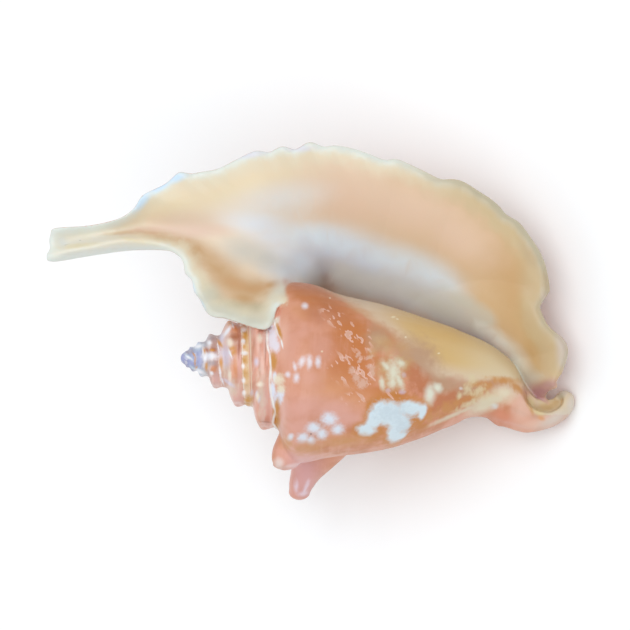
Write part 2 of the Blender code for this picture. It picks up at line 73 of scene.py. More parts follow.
def ease(low, high, value):          # smooth step from 0 at low to 1 at high
    share = np.clip((np.asarray(value, dtype=float) - low) / (high - low), 0.0, 1.0)
    return share * share * (3.0 - 2.0 * share)


def smoothCurve(points, at):         # cubic curve through points whose first number rises
    table = np.array(points, dtype=float)
    place, values = table[:, 0], table[:, 1:]
    slope = np.gradient(values, place, axis=0)
    at = np.clip(np.asarray(at, dtype=float), place[0], place[-1])
    left = np.clip(np.searchsorted(place, at, side="right") - 1, 0, len(place) - 2)
    width = place[left + 1] - place[left]
    share = ((at - place[left]) / width)[..., None]
    width = width[..., None]
    low, high = values[left], values[left + 1]
    riseLow, riseHigh = slope[left] * width, slope[left + 1] * width
    return (
        (2 * share**3 - 3 * share**2 + 1) * low + (share**3 - 2 * share**2 + share) * riseLow
        + (3 * share**2 - 2 * share**3) * high + (share**3 - share**2) * riseHigh
    )


def toShell(points):                 # outline points into the shell's frame
    turn = math.radians(whole["axisFall"])
    points = np.atleast_2d(np.array(points, dtype=float))
    x = points[:, 0] * math.cos(turn) - points[:, 1] * math.sin(turn)
    y = points[:, 0] * math.sin(turn) + points[:, 1] * math.cos(turn)
    return np.column_stack([x, y])


def roundCorners(points, steps=6):   # closed smooth line through the points
    points = np.array(points, dtype=float)
    before, after, beyond = (np.roll(points, shift, axis=0) for shift in (1, -1, -2))
    line = np.zeros((len(points) * steps, 2))
    for step in range(steps):
        t = step / steps
        line[step::steps] = 0.5 * (
            2 * points + (after - before) * t
            + (2 * before - 5 * points + 4 * after - beyond) * t * t
            + (3 * points - before - 3 * after + beyond) * t**3
        )
    return line


def grow(outline, by):               # closed outline moved outwards
    along = np.roll(outline, -1, axis=0) - np.roll(outline, 1, axis=0)
    outwards = np.column_stack([-along[:, 1], along[:, 0]])
    outwards /= np.linalg.norm(outwards, axis=1)[:, None]
    return outline + by * outwards


def spreadAlong(line, spacing):      # evenly spaced points along a smooth line
    points = np.array(line, dtype=float)
    lengths = np.concatenate([[0.0], np.cumsum(np.linalg.norm(np.diff(points, axis=0), axis=1))])
    count = max(int(round(lengths[-1] / spacing)), 1) + 1
    return smoothCurve(np.column_stack([lengths, points]), np.linspace(0.0, lengths[-1], count))


def distanceToLine(points, line):    # from each point to an open line in the plane
    nearest = np.full(len(points), 1e9)
    for start, end in zip(line[:-1], line[1:]):
        start, end = np.array(start), np.array(end)
        along = end - start
        share = np.clip(((points - start) @ along) / max(along @ along, 1e-9), 0.0, 1.0)
        nearest = np.minimum(nearest, np.linalg.norm(points - (start + share[:, None] * along), axis=1))
    return nearest


def inside(points, outline):         # true for the points inside a closed outline
    crossed = np.zeros(len(points), dtype=bool)
    for (x1, y1), (x2, y2) in zip(outline, np.roll(outline, -1, axis=0)):
        if y1 != y2:
            spans = (points[:, 1] >= min(y1, y2)) & (points[:, 1] < max(y1, y2))
            crossed ^= spans & (points[:, 0] < x1 + (points[:, 1] - y1) * (x2 - x1) / (y2 - y1))
    return crossed


# The flared lip with its tail, its gutter and the lobe over the spire
lip = {
    "wall": 2.2,
    "rimHeight": 7.0,                # of the rim above the coiling axis
    "spacing": 0.95,                 # between the points of the sheet
    "rampSpacing": 0.5,              # the same where it dives into the throat
    "edgeSpacing": 0.45,             # of the inner points from the edge, as a share of that between them
    "slopeStep": 0.2,                # over which its slope is measured
    "underReach": 0.98,              # share of the whorl's radius that its inner face goes on under the whorl
    "steepening": (14.0, 28.0),      # stations between which a steep wall may get thicker
    "steepest": (1.25, 5.0),         # times the wall that it may be there, before and after them
    "edgeRounding": 0.22,            # fusing wears the edge back by this much
    "edgeTrim": 0.3,                 # share of the wall that is worn off each side of the rim
    "trimReach": 0.6,                # how far in, as a share of the wall
    "rimRise": 0.1,                  # share of the way to the rim where the inner face starts to rise
    "throatStart": (31.5, 27.5),     # where it dives, beside the whorl and further out
    "throatEnd": (41.0, 46.0),
    "throatAcross": (18.0, 34.0),
    "end": 116.0,                    # station where it ends beside the canal
    "keelStart": 30.0,               # from here to the keel its back follows the shoulder
    "keelSink": 1.3,                 # walls that the back may reach below the inner face there
    "keelAcross": 30.0,              # past this distance across it is free
    "keelFree": 60.0,
    "fluteDepth": 0.55,              # of the soft flutes between the scallops of the rim
    "fluteLevel": 0.6,               # height of the cords' wave at which a flute is level
    "fluteReach": 11.0,
    "fluteStart": (-20.0, -5.0),     # stations where they set in, past the tail
    "cordHeight": 0.9,               # of the spiral cords on its back
    "cordWidth": 2.4,
    "cordRise": (0.05, 0.7),         # shares of the way to the rim between which they rise
    "cordBend": 1.3,                 # how much later they spread than a straight fan
    "cordRoot": 43.0,                # they fan out from about this station
    "cordCrowding": 0.43,            # their spacing on the whorl, as a share of that at the rim
    "cordEnds": (-14.0, -3.5, 2.4, 7.4, 18.1, 26.1, 34.2, 42.0, 51.0, 60.2, 69.0, 77.9, 84.0, 89.5,
                 97.7, 104.0, 109.0),
    "knobSharpness": 1.6,
    "rimPoints": 10,                 # points of the front edge that the rim takes in
    "paleRimPoints": 8,              # and those that its pale border takes in
}
tailEnd = [(-40.1, 30.6), (-39.1, 32.7), (-39.3, 35.3), (-38.8, 37.2), (-37.5, 38.8)]
upperEdge = [
    (-27.3, 39.6), (-18.6, 41.6), (-14.1, 44.5), (-12.2, 47.4), (-10.5, 49.1), (-4.5, 52.1),
    (-0.9, 55.2), (0.4, 55.6), (3.2, 55.1), (6.3, 55.6), (11.4, 56.6), (17.0, 59.4), (22.5, 61.9),
    (26.8, 61.6), (30.6, 63.3), (34.5, 62.4), (38.8, 64.5), (42.9, 63.2), (46.5, 63.5),
    (51.0, 62.8), (56.0, 61.2), (61.5, 59.2), (64.5, 59.5), (67.5, 58.5), (72.5, 56.1),
    (78.0, 53.5), (81.8, 53.4), (85.0, 52.6), (89.0, 50.1), (93.0, 47.5), (95.6, 45.3),
    (97.8, 42.8), (100.8, 41.0), (102.8, 39.1), (105.4, 35.4), (107.9, 31.5), (109.6, 27.0),
    (110.7, 20.9), (110.1, 19.2),
]
frontEdge = [
    (108.0, 15.9), (107.9, 14.5), (110.0, 9.9), (112.4, 7.6), (114.5, 6.0), (116.0, 3.4),
    (116.2, 1.5), (115.6, -1.2), (114.4, -4.4), (112.8, -7.0), (113.0, -8.8), (111.2, -9.5),
    (109.9, -10.8), (109.6, -12.2), (110.4, -13.3),
]
underBody = [
    (108.0, -17.0), (98.0, -17.0), (88.0, -13.0), (70.0, -13.0), (55.0, -12.0), (40.0, -11.0),
    (33.5, -8.0), (33.0, 4.0), (33.0, 13.0),
]
lobeEdge = [
    (31.8, 17.0), (29.2, 15.2), (28.2, 12.2), (27.4, 9.9), (25.2, 8.6), (21.0, 9.5), (16.8, 10.9),
    (13.2, 12.0), (11.0, 12.2), (8.9, 12.9), (7.5, 14.6), (5.9, 17.7), (4.3, 19.9), (3.5, 23.4),
    (1.6, 25.4), (0.9, 28.8), (-0.7, 30.9), (-4.5, 32.4),
]
tailUnderside = [(-15.3, 32.4), (-27.0, 30.8), (-38.4, 29.0)]
# Relief of the tail, the gutter and the lobe, as lines of (X, Y, Z) in the shell's frame
reliefLines = {
    "upper rim": [
        (-40.1, 36.0, 1.8), (-30.5, 38.6, 2.0), (-21.4, 40.2, 2.2), (-13.9, 48.2, 3.2),
        (-3.6, 55.4, 4.2), (7.4, 57.2, 4.6), (18.2, 63.0, 5.4), (26.1, 65.3, 6.0),
        (36.0, 66.0, 6.8), (46.0, 65.0, 7.0),
    ],
    "floor of the gutter": [
        (-40.4, 30.4, 0.2), (-34.0, 32.0, -0.8), (-27.9, 33.9, -1.5), (-22.2, 35.9, -1.9),
        (-17.1, 36.7, -1.9), (-5.7, 37.2, -1.5), (2.4, 37.4, -1.2), (12.6, 35.0, -1.0),
        (24.0, 32.0, -2.2), (32.0, 30.0, -6.0),
    ],
    "slope above the gutter": [
        (-8.0, 45.0, 1.4), (6.0, 47.0, 1.6), (20.0, 49.0, 1.6), (32.0, 50.0, -1.0),
    ],
    "fold under the gutter": [
        (-41.2, 27.2, 1.4), (-33.2, 31.0, 1.6), (-27.9, 32.4, 1.6), (-22.3, 34.3, 1.6),
        (-16.9, 34.9, 1.7), (-11.1, 34.2, 1.8), (-5.3, 32.4, 1.7), (-2.0, 28.6, 1.9),
        (0.5, 25.2, 2.4), (4.0, 19.5, 4.2), (7.4, 14.2, 6.4), (12.4, 12.6, 8.0),
        (17.0, 12.0, 11.0), (20.6, 11.0, 15.2), (24.4, 10.4, 17.8), (26.6, 12.0, 18.0),
        (27.8, 15.6, 17.0), (29.6, 18.4, 15.4), (31.2, 20.2, 13.0), (31.2, 22.6, 8.0),
        (30.0, 25.4, 2.4),
    ],
    "under the whorl": [
        (33.4, 19.0, 11.6), (33.4, 14.0, 13.2), (33.2, 8.0, 13.6), (33.0, 0.0, 13.0),
    ],
    "underside of the tail": [
        (-36.0, 27.2, -1.0), (-30.0, 28.4, -1.6), (-17.5, 31.2, -1.6), (-9.0, 31.2, -0.6),
    ],
    "hollow of the lobe": [
        (4.0, 28.0, 1.0), (12.0, 25.6, 1.6), (18.0, 24.4, 2.2), (23.0, 24.6, 2.4),
    ],
    "slope of the lobe": [
        (9.0, 20.0, 3.8), (14.5, 17.6, 5.6), (20.0, 17.0, 9.0), (24.6, 19.0, 10.5),
    ],
}
reliefStep = 2.6                     # spacing of the points taken along those lines

# The last whorl with the columella and the bent canal
body = {
    "spacing": 0.5,                  # between the rings
    "pathSpacing": 0.3,              # between the points of the line that they follow
    "sides": 260,
    "start": 22.0,                   # inside the spire
    "keel": 39.0,                    # station of its widest part, where the knobs stand
    "blindEnd": (246.0, 268.0),      # degrees round it where the cavity behind the opening ends
    "troughDirection": 48.0,         # degrees round it where the canal is open
    "troughHalfWidth": 40.0,
    "troughFloor": 0.35,             # share of that half width where it is deepest
    "troughDepth": 0.72,
    "troughStart": (101.0, 107.0),
    "troughEnd": (120.0, 123.0),
    "foldCount": 10,                 # oblique folds, counted all the way round the canal
    "foldDepth": 0.22,
    "foldSlant": 0.16,               # radians that they turn in each millimetre
    "foldStart": (97.0, 102.0),      # stations where they set in and where they fade
    "foldEnd": (108.0, 112.0),
    "foldSide": (80.0, 110.0),       # degrees round it where they set in and where they fade
    "foldSideEnd": (190.0, 230.0),
    "growthDepth": 0.03,             # of the lines of growth
    "growthLines": 46.0,             # of them all round
    "growthSlant": 0.35,
    "growthWander": 1.6,             # radians that they swing
    "growthWaves": 5.0,
    "growthEnd": (60.0, 90.0),       # stations where they fade
    "growthSide": (0.0, 40.0),
    "growthSideEnd": (200.0, 240.0),
}
# Station, then the radius on the lip side, at the front, at the lower side, of the outer wall at the
# back, and of the inner wall at the back
bodyRadii = [
    (22.0, 13.0, 12.0, 10.0, 10.0, 10.0),
    (27.0, 21.5, 18.5, 14.0, 12.0, 14.0),
    (30.0, 24.4, 21.6, 17.0, 15.5, 18.0),
    (33.0, 25.0, 24.4, 26.0, 20.5, 22.0),
    (36.0, 25.0, 25.8, 29.2, 26.8, 23.0),
    (39.0, 24.6, 26.2, 29.0, 30.6, 22.4),
    (45.0, 22.7, 24.8, 27.3, 29.8, 20.6),
    (60.0, 20.1, 21.6, 24.1, 25.6, 18.2),
    (66.0, 18.7, 20.2, 22.4, 23.6, 16.6),
    (72.6, 17.0, 18.2, 19.6, 21.2, 14.2),
    (81.0, 14.6, 15.2, 15.8, 17.4, 12.6),
    (88.7, 12.0, 12.4, 12.1, 13.8, 10.8),
    (92.7, 10.6, 11.0, 10.6, 12.6, 10.4),
    (96.7, 9.0, 9.6, 9.6, 12.0, 9.8),
    (103.0, 4.4, 8.0, 9.5, 10.0, 8.2),
    (109.1, 3.9, 5.6, 6.8, 6.6, 5.4),
    (114.4, 4.3, 4.3, 3.9, 4.2, 4.0),
    (119.2, 3.7, 3.6, 3.2, 3.4, 3.4),
    (120.7, 3.3, 3.2, 3.1, 3.1, 3.1),
    (121.7, 2.9, 2.8, 2.9, 2.8, 2.8),
    (122.6, 2.4, 2.3, 2.4, 2.3, 2.3),
    (123.2, 1.7, 1.6, 1.7, 1.6, 1.6),
    (123.5, 1.1, 1.0, 1.1, 1.0, 1.0),
    (123.8, 0.3, 0.3, 0.3, 0.3, 0.3),
]
centreLine = [
    (0.0, 0.0, 0.0), (40.0, 0.0, 0.0), (70.0, 0.0, 0.0), (81.0, 0.0, 0.0), (88.7, -0.5, 0.0),
    (96.3, -2.7, -0.3), (102.0, -5.6, -0.8), (107.2, -8.8, -1.5), (112.2, -9.2, -2.2),
    (115.7, -6.6, -2.6), (116.2, -1.8, -2.6),
]

# The stepped spire
spire = {
    "firstStations": (0.02, 0.15, 0.4),      # of its rings, and from the start on they are evenly spaced
    "start": 0.7,
    "spacing": 0.17,
    "sides": 320,
    "samples": 200,                  # of the seam's path in each turn
    "seamStep": 0.01,                # turns between the points that beads and thread follow
    "end": 33.0,                     # inside the last whorl
    "tipLength": 1.5,                # of the rounded tip
    "offset": 0.6,                   # its middle lies this much towards the lip
    "offsetStart": (2.0, 8.0),       # stations where it moves there
    "knobsPerTurn": 9,
    "knobPhase": 8.0,                # degrees
    "knobHeight": 0.12,              # this, the place and the widths are shares of the whorl's height
    "knobPlace": 0.66,
    "knobWidth": 0.16,
    "knobSwing": 0.65,               # of the wave that sets them apart, and its level
    "knobLevel": 0.35,
    "seamDepth": 0.03,
    "seamWidth": 0.05,
    "leastRadius": 0.05,
    "shoulderStart": 0.2,            # share of a whorl's height where its shoulder starts to rise
    "shoulderEnd": 0.56,
    "ridges": 5.0,                   # fine spiral ridges on a whorl
    "ridgeHeight": 0.009,
    "beadSpacing": 3.9,              # of the beads below the last seam of the spire
    "beadSize": (1.15, 0.9, 0.55),   # half length, half width and half height
    "beadTurns": (4.769, 6.05),      # first and last turn that has them
    "beadGrowth": 0.045,             # of their size for each millimetre off the axis
    "beadBase": 0.35,                # and what it starts from
    "beadChance": (0.85, 1.15),
    "beadSeed": 7,
    "beadDivisions": 3,
    "beadShift": 0.07,               # off the seam, as a share of the radius
    "beadLift": -0.05,
    "threadTurns": (5.3, 6.45),      # the raised thread along the last seam
    "threadThickness": 0.42,
    "threadSides": 12,
    "threadLift": 0.05,
}
# Distance of each seam from the tip along the front, one whole turn apart, and the radius of the
# shell at a seam that lies so far from the tip
seamStations = [(0.0, 1.2), (1.0, 2.2), (2.0, 4.2), (3.0, 7.05), (4.0, 11.5), (5.0, 18.75),
                (6.0, 27.3), (7.0, 41.0)]
seamRadii = [(0.0, 0.4), (1.2, 1.7), (3.1, 3.1), (6.0, 4.6), (8.7, 6.1), (11.4, 7.6), (13.8, 9.1),
             (20.1, 13.1), (30.3, 19.6), (41.0, 23.5)]

# Knobs of the last whorl's shoulder: the way each points, in degrees round the axis, and its rings from
# foot to tip: distance from the axis, station, and half widths along the axis and across
shoulderKnobs = {
    172.0: [
        (15.0, 39.0, 6.0, 5.4), (21.0, 37.5, 6.4, 5.6), (26.5, 35.0, 5.5, 4.8), (29.8, 33.8, 3.9, 3.4),
        (31.4, 33.4, 2.2, 1.9), (31.9, 33.4, 0.2, 0.2),
    ],
    209.0: [
        (22.0, 46.5, 9.4, 6.4), (28.0, 44.6, 8.2, 5.7), (34.0, 41.9, 6.1, 4.8), (38.0, 40.0, 4.6, 3.9),
        (42.5, 38.7, 3.4, 3.0), (45.4, 38.4, 2.3, 2.1), (46.5, 38.4, 0.2, 0.2),
    ],
    250.0: [
        (22.0, 42.8, 9.2, 6.6), (28.4, 41.9, 7.8, 5.6), (34.9, 40.9, 6.3, 4.5), (41.3, 39.7, 4.5, 3.2),
        (45.1, 38.7, 2.9, 2.1), (47.7, 37.0, 0.3, 0.2),
    ],
}
# Knobs of the lip's back: where they stand (X, Y), how they are drawn out (X, Y, Z), and their reach
lipKnobs = [
    (42.0, 17.0, -4.0, 3.4, -16.2, 9.0, 7.6),
    (41.0, 29.0, -3.0, 2.5, -8.0, 8.0, 7.5),
    (38.0, 44.0, -2.0, 1.5, -3.5, 7.5, 7.0),
]


class Relief:                        # smooth surface through scattered heights, like a bent thin plate
    def __init__(self, lines):
        table = np.concatenate([spreadAlong(line, reliefStep) for line in lines.values()])
        self.places = table[:, :2]
        count = len(table)
        system = np.zeros((count + 3, count + 3))
        system[:count, :count] = self.bend(self.places)
        system[:count, count] = 1.0
        system[:count, count + 1:] = self.places
        system[count:, :count] = system[:count, count:].T
        self.weights = np.linalg.solve(system, np.concatenate([table[:, 2], np.zeros(3)]))

    def bend(self, points):
        gap = np.linalg.norm(points[:, None, :] - self.places[None, :, :], axis=2)
        return gap**2 * np.log(np.maximum(gap, 1e-9))

    def heights(self, points):
        count = len(self.places)
        flat = self.weights[count] + points @ self.weights[count + 1:]
        return self.bend(points) @ self.weights[:count] + flat


relief = Relief(reliefLines)
rimLine = toShell(upperEdge + frontEdge[:lip["rimPoints"]])
lipOutline = roundCorners(toShell(
    tailEnd + upperEdge + frontEdge + underBody + lobeEdge + tailUnderside
))


def openingHeight(points):           # the lip's inner face: flat beside the whorl, then up to the rim
    centre = smoothCurve(centreLine, np.clip(points[:, 0], 0.0, lip["end"]))[:, 0]
    back = smoothCurve(bodyRadii, np.clip(points[:, 0], body["keel"], lip["end"]))[:, 3]
    fromBody = np.maximum(points[:, 1] - centre, 0.0)
    share = fromBody / np.maximum(fromBody + distanceToLine(points, rimLine), 1e-6)
    below = np.minimum(np.maximum(centre - points[:, 1], 0.0) / back, lip["underReach"])
    floor = -(back - lip["wall"]) * np.sqrt(1.0 - below**2)
    return floor + (lip["rimHeight"] - floor) * ease(lip["rimRise"], 1.0, share)


def cordWave(points):                # 1 on the cords that fan out to the scallops of the rim
    across = np.maximum(points[:, 1], 0.0)
    share = across / np.maximum(across + distanceToLine(points, rimLine), 1e-6)
    fan = share ** lip["cordBend"]
    crowding = lip["cordCrowding"] + (1.0 - lip["cordCrowding"]) * fan
    end = (points[:, 0] - lip["cordRoot"] * (1.0 - fan)) / crowding
    wave = np.zeros(len(points))
    for cord in lip["cordEnds"]:
        wave = np.maximum(wave, np.exp(-((end - cord) / lip["cordWidth"]) ** 2))
    return wave, share


def lipHeight(points):               # the whole inner face: tail, gutter and lobe, blended into the opening
    outer = ease(*lip["throatAcross"], points[:, 1])
    start = lip["throatStart"][0] + (lip["throatStart"][1] - lip["throatStart"][0]) * outer
    end = lip["throatEnd"][0] + (lip["throatEnd"][1] - lip["throatEnd"][0]) * outer
    blend = ease(0.0, 1.0, (points[:, 0] - start) / (end - start))
    gutter = relief.heights(points)
    height = gutter + (openingHeight(points) - gutter) * blend
    wave, _ = cordWave(points)
    nearRim = 1.0 - ease(0.0, lip["fluteReach"], distanceToLine(points, rimLine))
    flutes = lip["fluteDepth"] * nearRim * (wave - lip["fluteLevel"])
    return height + flutes * ease(*lip["fluteStart"], points[:, 0])


def keelHeight(points):              # how low its back may reach beside the whorl, to follow the shoulder
    atKeel = np.column_stack([np.maximum(points[:, 0], body["keel"]), points[:, 1]])
    lowest = openingHeight(atKeel) - lip["keelSink"] * lip["wall"]
    back = smoothCurve(bodyRadii, np.clip(points[:, 0], lip["keelStart"], body["keel"]))[:, 3]
    lowest = lowest * back / smoothCurve(bodyRadii, body["keel"])[3]
    return lowest - lip["keelFree"] * ease(lip["throatAcross"][0], lip["keelAcross"], points[:, 1])


def addSolid(points, faces):         # closed mesh of points and faces
    mesh = bpy.data.meshes.new("solid")
    mesh.from_pydata([tuple(point) for point in points], [], faces)
    return mesh


def lipMesh():
    spacing = lip["spacing"]
    outline = grow(lipOutline, lip["edgeRounding"])
    low, high = outline.min(axis=0), outline.max(axis=0)
    rows = []
    for row, y in enumerate(np.arange(low[1], high[1], spacing * math.sqrt(3) / 2)):
        line = np.arange(low[0] + 0.5 * spacing * (row % 2), high[0], spacing)
        rows.append(np.column_stack([line, np.full(len(line), y)]))
    inner = np.concatenate(rows)
    dive = (inner[:, 0] > lip["throatStart"][1]) & (inner[:, 0] < lip["throatEnd"][1])
    dive &= inner[:, 1] < lip["throatAcross"][1]
    inner = np.concatenate([inner, inner[dive] + (lip["rampSpacing"], 0.0)])
    edge = np.concatenate([outline, outline[:1]])
    clear = distanceToLine(inner, edge) > lip["edgeSpacing"] * spacing
    inner = inner[inside(inner, outline) & clear]
    flat = [Vector(point) for point in np.concatenate([outline, inner])]
    borders = [(k, (k + 1) % len(outline)) for k in range(len(outline))]
    places, _, faces, *_ = delaunay_2d_cdt(flat, borders, [], 1, 1e-5)
    places = np.array([tuple(place) for place in places])

    step = lip["slopeStep"]
    heights = lipHeight(places)
    slopeX = (lipHeight(places + (step, 0.0)) - heights) / step
    slopeY = (lipHeight(places + (0.0, step)) - heights) / step
    least, most = lip["steepest"]
    steepest = least + (most - least) * ease(*lip["steepening"], places[:, 0])
    wall = lip["wall"] * np.minimum(np.sqrt(1.0 + slopeX**2 + slopeY**2), steepest)
    toEdge = distanceToLine(places, edge)
    trim = lip["edgeTrim"] * lip["wall"] * (1.0 - ease(0.0, lip["trimReach"] * lip["wall"], toEdge))
    wave, share = cordWave(places)
    under = heights - wall + trim - lip["cordHeight"] * wave * ease(*lip["cordRise"], share)
    under = np.maximum(under, np.minimum(keelHeight(places), heights - lip["wall"]))
    outer = np.column_stack([places, under])
    for knob in lipKnobs:
        away = (places - knob[:2]) / knob[5:]
        pull = np.maximum(1.0 - (away**2).sum(axis=1), 0.0) ** lip["knobSharpness"]
        outer += pull[:, None] * np.array(knob[2:5])

    count = len(places)
    solid = []
    sides = set()
    for face in faces:
        a, b, c = places[list(face)]
        if (b[0] - a[0]) * (c[1] - a[1]) < (b[1] - a[1]) * (c[0] - a[0]):
            face = face[::-1]
        solid += [tuple(face), tuple(k + count for k in reversed(face))]
        sides.update(zip(face, face[1:] + face[:1]))
    solid += [(b, a, a + count, b + count) for a, b in sorted(sides) if (b, a) not in sides]
    return addSolid(np.concatenate([np.column_stack([places, heights - trim]), outer]), solid)


def ringMesh(rings):                 # closed solid through rings of points, its ends closed flat
    rings = np.array(rings)
    count = rings.shape[1]
    faces = []
    for ring in range(len(rings) - 1):
        near = np.arange(count) + ring * count
        ahead = np.roll(near, -1)
        faces += np.column_stack([near, ahead, ahead + count, near + count]).tolist()
    faces.append(list(range(count))[::-1])
    faces.append(list(range((len(rings) - 1) * count, len(rings) * count)))
    mesh = addSolid(rings.reshape(-1, 3), faces)
    bm = bmesh.new()
    bm.from_mesh(mesh)
    bmesh.ops.recalc_face_normals(bm, faces=bm.faces)
    bm.to_mesh(mesh)
    bm.free()
    return mesh


def bodyRadius(station, angle):      # at angles from the lip side, through the front
    lipSide, front, lower, back, inner = smoothCurve(bodyRadii, station)
    along, out = np.cos(angle) ** 2, np.sin(angle) ** 2
    onLipSide = np.cos(angle) > 0.0
    frontHalf = np.where(onLipSide, lipSide, lower) * along + front * out
    outer = np.where(onLipSide, back, lower * along + back * out)
    underLip = lipSide * along**2 + inner * (1.0 - along**2)
    hidden = np.where(onLipSide, underLip, lower * along + inner * out)
    turn = ease(*body["blindEnd"], np.degrees(angle))
    return np.where(np.sin(angle) >= 0.0, frontHalf, outer + (hidden - outer) * turn)


def canalTrough(station, angle):     # share of the radius left where the canal is open
    depth = body["troughDepth"] * ease(*body["troughStart"], station)
    depth *= 1.0 - ease(*body["troughEnd"], station)
    away = np.abs((np.degrees(angle) - body["troughDirection"] + 180.0) % 360.0 - 180.0)
    return 1.0 - depth * (1.0 - ease(body["troughFloor"], 1.0, away / body["troughHalfWidth"]))


def bodyMesh():
    path = spreadAlong(centreLine, body["pathSpacing"])
    lengths = np.concatenate([[0.0], np.cumsum(np.linalg.norm(np.diff(path, axis=0), axis=1))])
    ahead = np.gradient(path, lengths, axis=0)
    angle = 2.0 * math.pi * np.arange(body["sides"]) / body["sides"]
    degrees = np.degrees(angle)
    onFolds = ease(*body["foldSide"], degrees) * (1.0 - ease(*body["foldSideEnd"], degrees))
    onLines, offLines = ease(*body["growthSide"], degrees), 1.0 - ease(*body["growthSideEnd"], degrees)
    count = int((lengths[-1] - body["start"]) / body["spacing"])
    rings = []
    for station in np.linspace(body["start"], lengths[-1], count):
        place, direction = (
            np.array([np.interp(station, lengths, line[:, k]) for k in range(3)]) for line in (path, ahead)
        )
        across = np.cross((0.0, 0.0, 1.0), direction)
        across /= np.linalg.norm(across)
        outward = np.cross(direction, across)
        radius = bodyRadius(station, angle) * canalTrough(station, angle)
        folds = ease(*body["foldStart"], station)
        folds *= 1.0 - ease(*body["foldEnd"], station)
        slant = body["foldSlant"] * (station - body["foldStart"][0])
        radius += body["foldDepth"] * folds * onFolds * np.cos(body["foldCount"] * angle + slant)
        swing = body["growthWander"] * np.sin(body["growthWaves"] * angle)
        lines = np.sin(body["growthLines"] * angle + body["growthSlant"] * station + swing)
        depth = body["growthDepth"] * (1.0 - ease(*body["growthEnd"], station))
        radius += depth * lines * onLines * offLines
        ring = np.outer(radius * np.cos(angle), across) + np.outer(radius * np.sin(angle), outward)
        rings.append(place + ring)
    return ringMesh(rings)


def knobMesh(angleDeg, rows, steps=26, sides=64):
    angle = math.radians(angleDeg)
    out = np.array([0.0, math.cos(angle), math.sin(angle)])
    side = np.array([0.0, -math.sin(angle), math.cos(angle)])
    axial = np.array([1.0, 0.0, 0.0])
    around = 2.0 * math.pi * np.arange(sides) / sides
    foot, tip = rows[0][0], rows[-1][0]
    reach = foot + (tip - foot) * np.sin(np.linspace(0.0, 0.5 * math.pi, steps + 1))
    rings = []
    for distance, (station, along, across) in zip(reach, smoothCurve(rows, reach)):
        ring = np.outer(along * np.cos(around), axial) + np.outer(across * np.sin(around), side)
        rings.append(axial * station + out * distance + ring)
    return ringMesh(rings)


def addNode(tree, kind, inputs=None, **settings):
    node = tree.nodes.new(kind)
    for name, value in settings.items():
        setattr(node, name, value)
    for socket, value in (inputs or {}).items():
        if isinstance(value, bpy.types.NodeSocket):
            tree.links.new(value, node.inputs[socket])
        else:
            node.inputs[socket].default_value = value
    return node


def newTree(name, sizes):            # geometry tree with a named input for each size
    tree = bpy.data.node_groups.new(name, "GeometryNodeTree")
    tree.interface.new_socket("Geometry", in_out="INPUT", socket_type="NodeSocketGeometry")
    for size, value in sizes.items():
        kind = {int: "NodeSocketInt", float: "NodeSocketFloat", tuple: "NodeSocketVector"}[type(value)]
        tree.interface.new_socket(size, in_out="INPUT", socket_type=kind)
    tree.interface.new_socket("Geometry", in_out="OUTPUT", socket_type="NodeSocketGeometry")
    return tree, tree.nodes.new("NodeGroupInput")


def finishTree(tree, geometry):      # realized, and in the shell's material
    real = addNode(tree, "GeometryNodeRealizeInstances", {0: geometry})
    dressed = addNode(tree, "GeometryNodeSetMaterial", {0: real.outputs[0], "Material": porcelain})
    addNode(tree, "NodeGroupOutput", {0: dressed.outputs[0]})


def grown(mesh, tree, sizes):        # what the tree makes of the mesh, as a plain mesh
    carrier = bpy.data.objects.new("carrier", mesh)
    bpy.context.scene.collection.objects.link(carrier)
    modifier = carrier.modifiers.new("grow", "NODES")
    modifier.node_group = tree
    for socket in tree.interface.items_tree:
        if socket.in_out == "INPUT" and socket.name in sizes:
            modifier[socket.identifier] = sizes[socket.name]
    result = bpy.data.meshes.new_from_object(carrier.evaluated_get(bpy.context.evaluated_depsgraph_get()))
    carrier.modifiers.clear()
    bpy.data.objects.remove(carrier)
    return result


porcelain = bpy.data.materials.new("glossy conch porcelain")

allTurns = seamStations[-1][0]
turnTable = np.linspace(0.0, allTurns, int(allTurns) * spire["samples"] + 1)
seamTable = smoothCurve(seamStations, turnTable)[:, 0]


def seamsAround(station, angle):     # turns and whorl of a place, and the stations of the seams about it
    turned = angle / (2.0 * math.pi) - 0.25
    turns = np.interp(station, seamTable, turnTable) - turned
    whorl = np.floor(turns)
    near = np.interp(whorl + turned, turnTable, seamTable)
    far = np.interp(whorl + 1.0 + turned, turnTable, seamTable)
    return turns, whorl, near, far


def spireMiddle(station):            # how far its middle lies towards the lip
    return spire["offset"] * ease(*spire["offsetStart"], station)


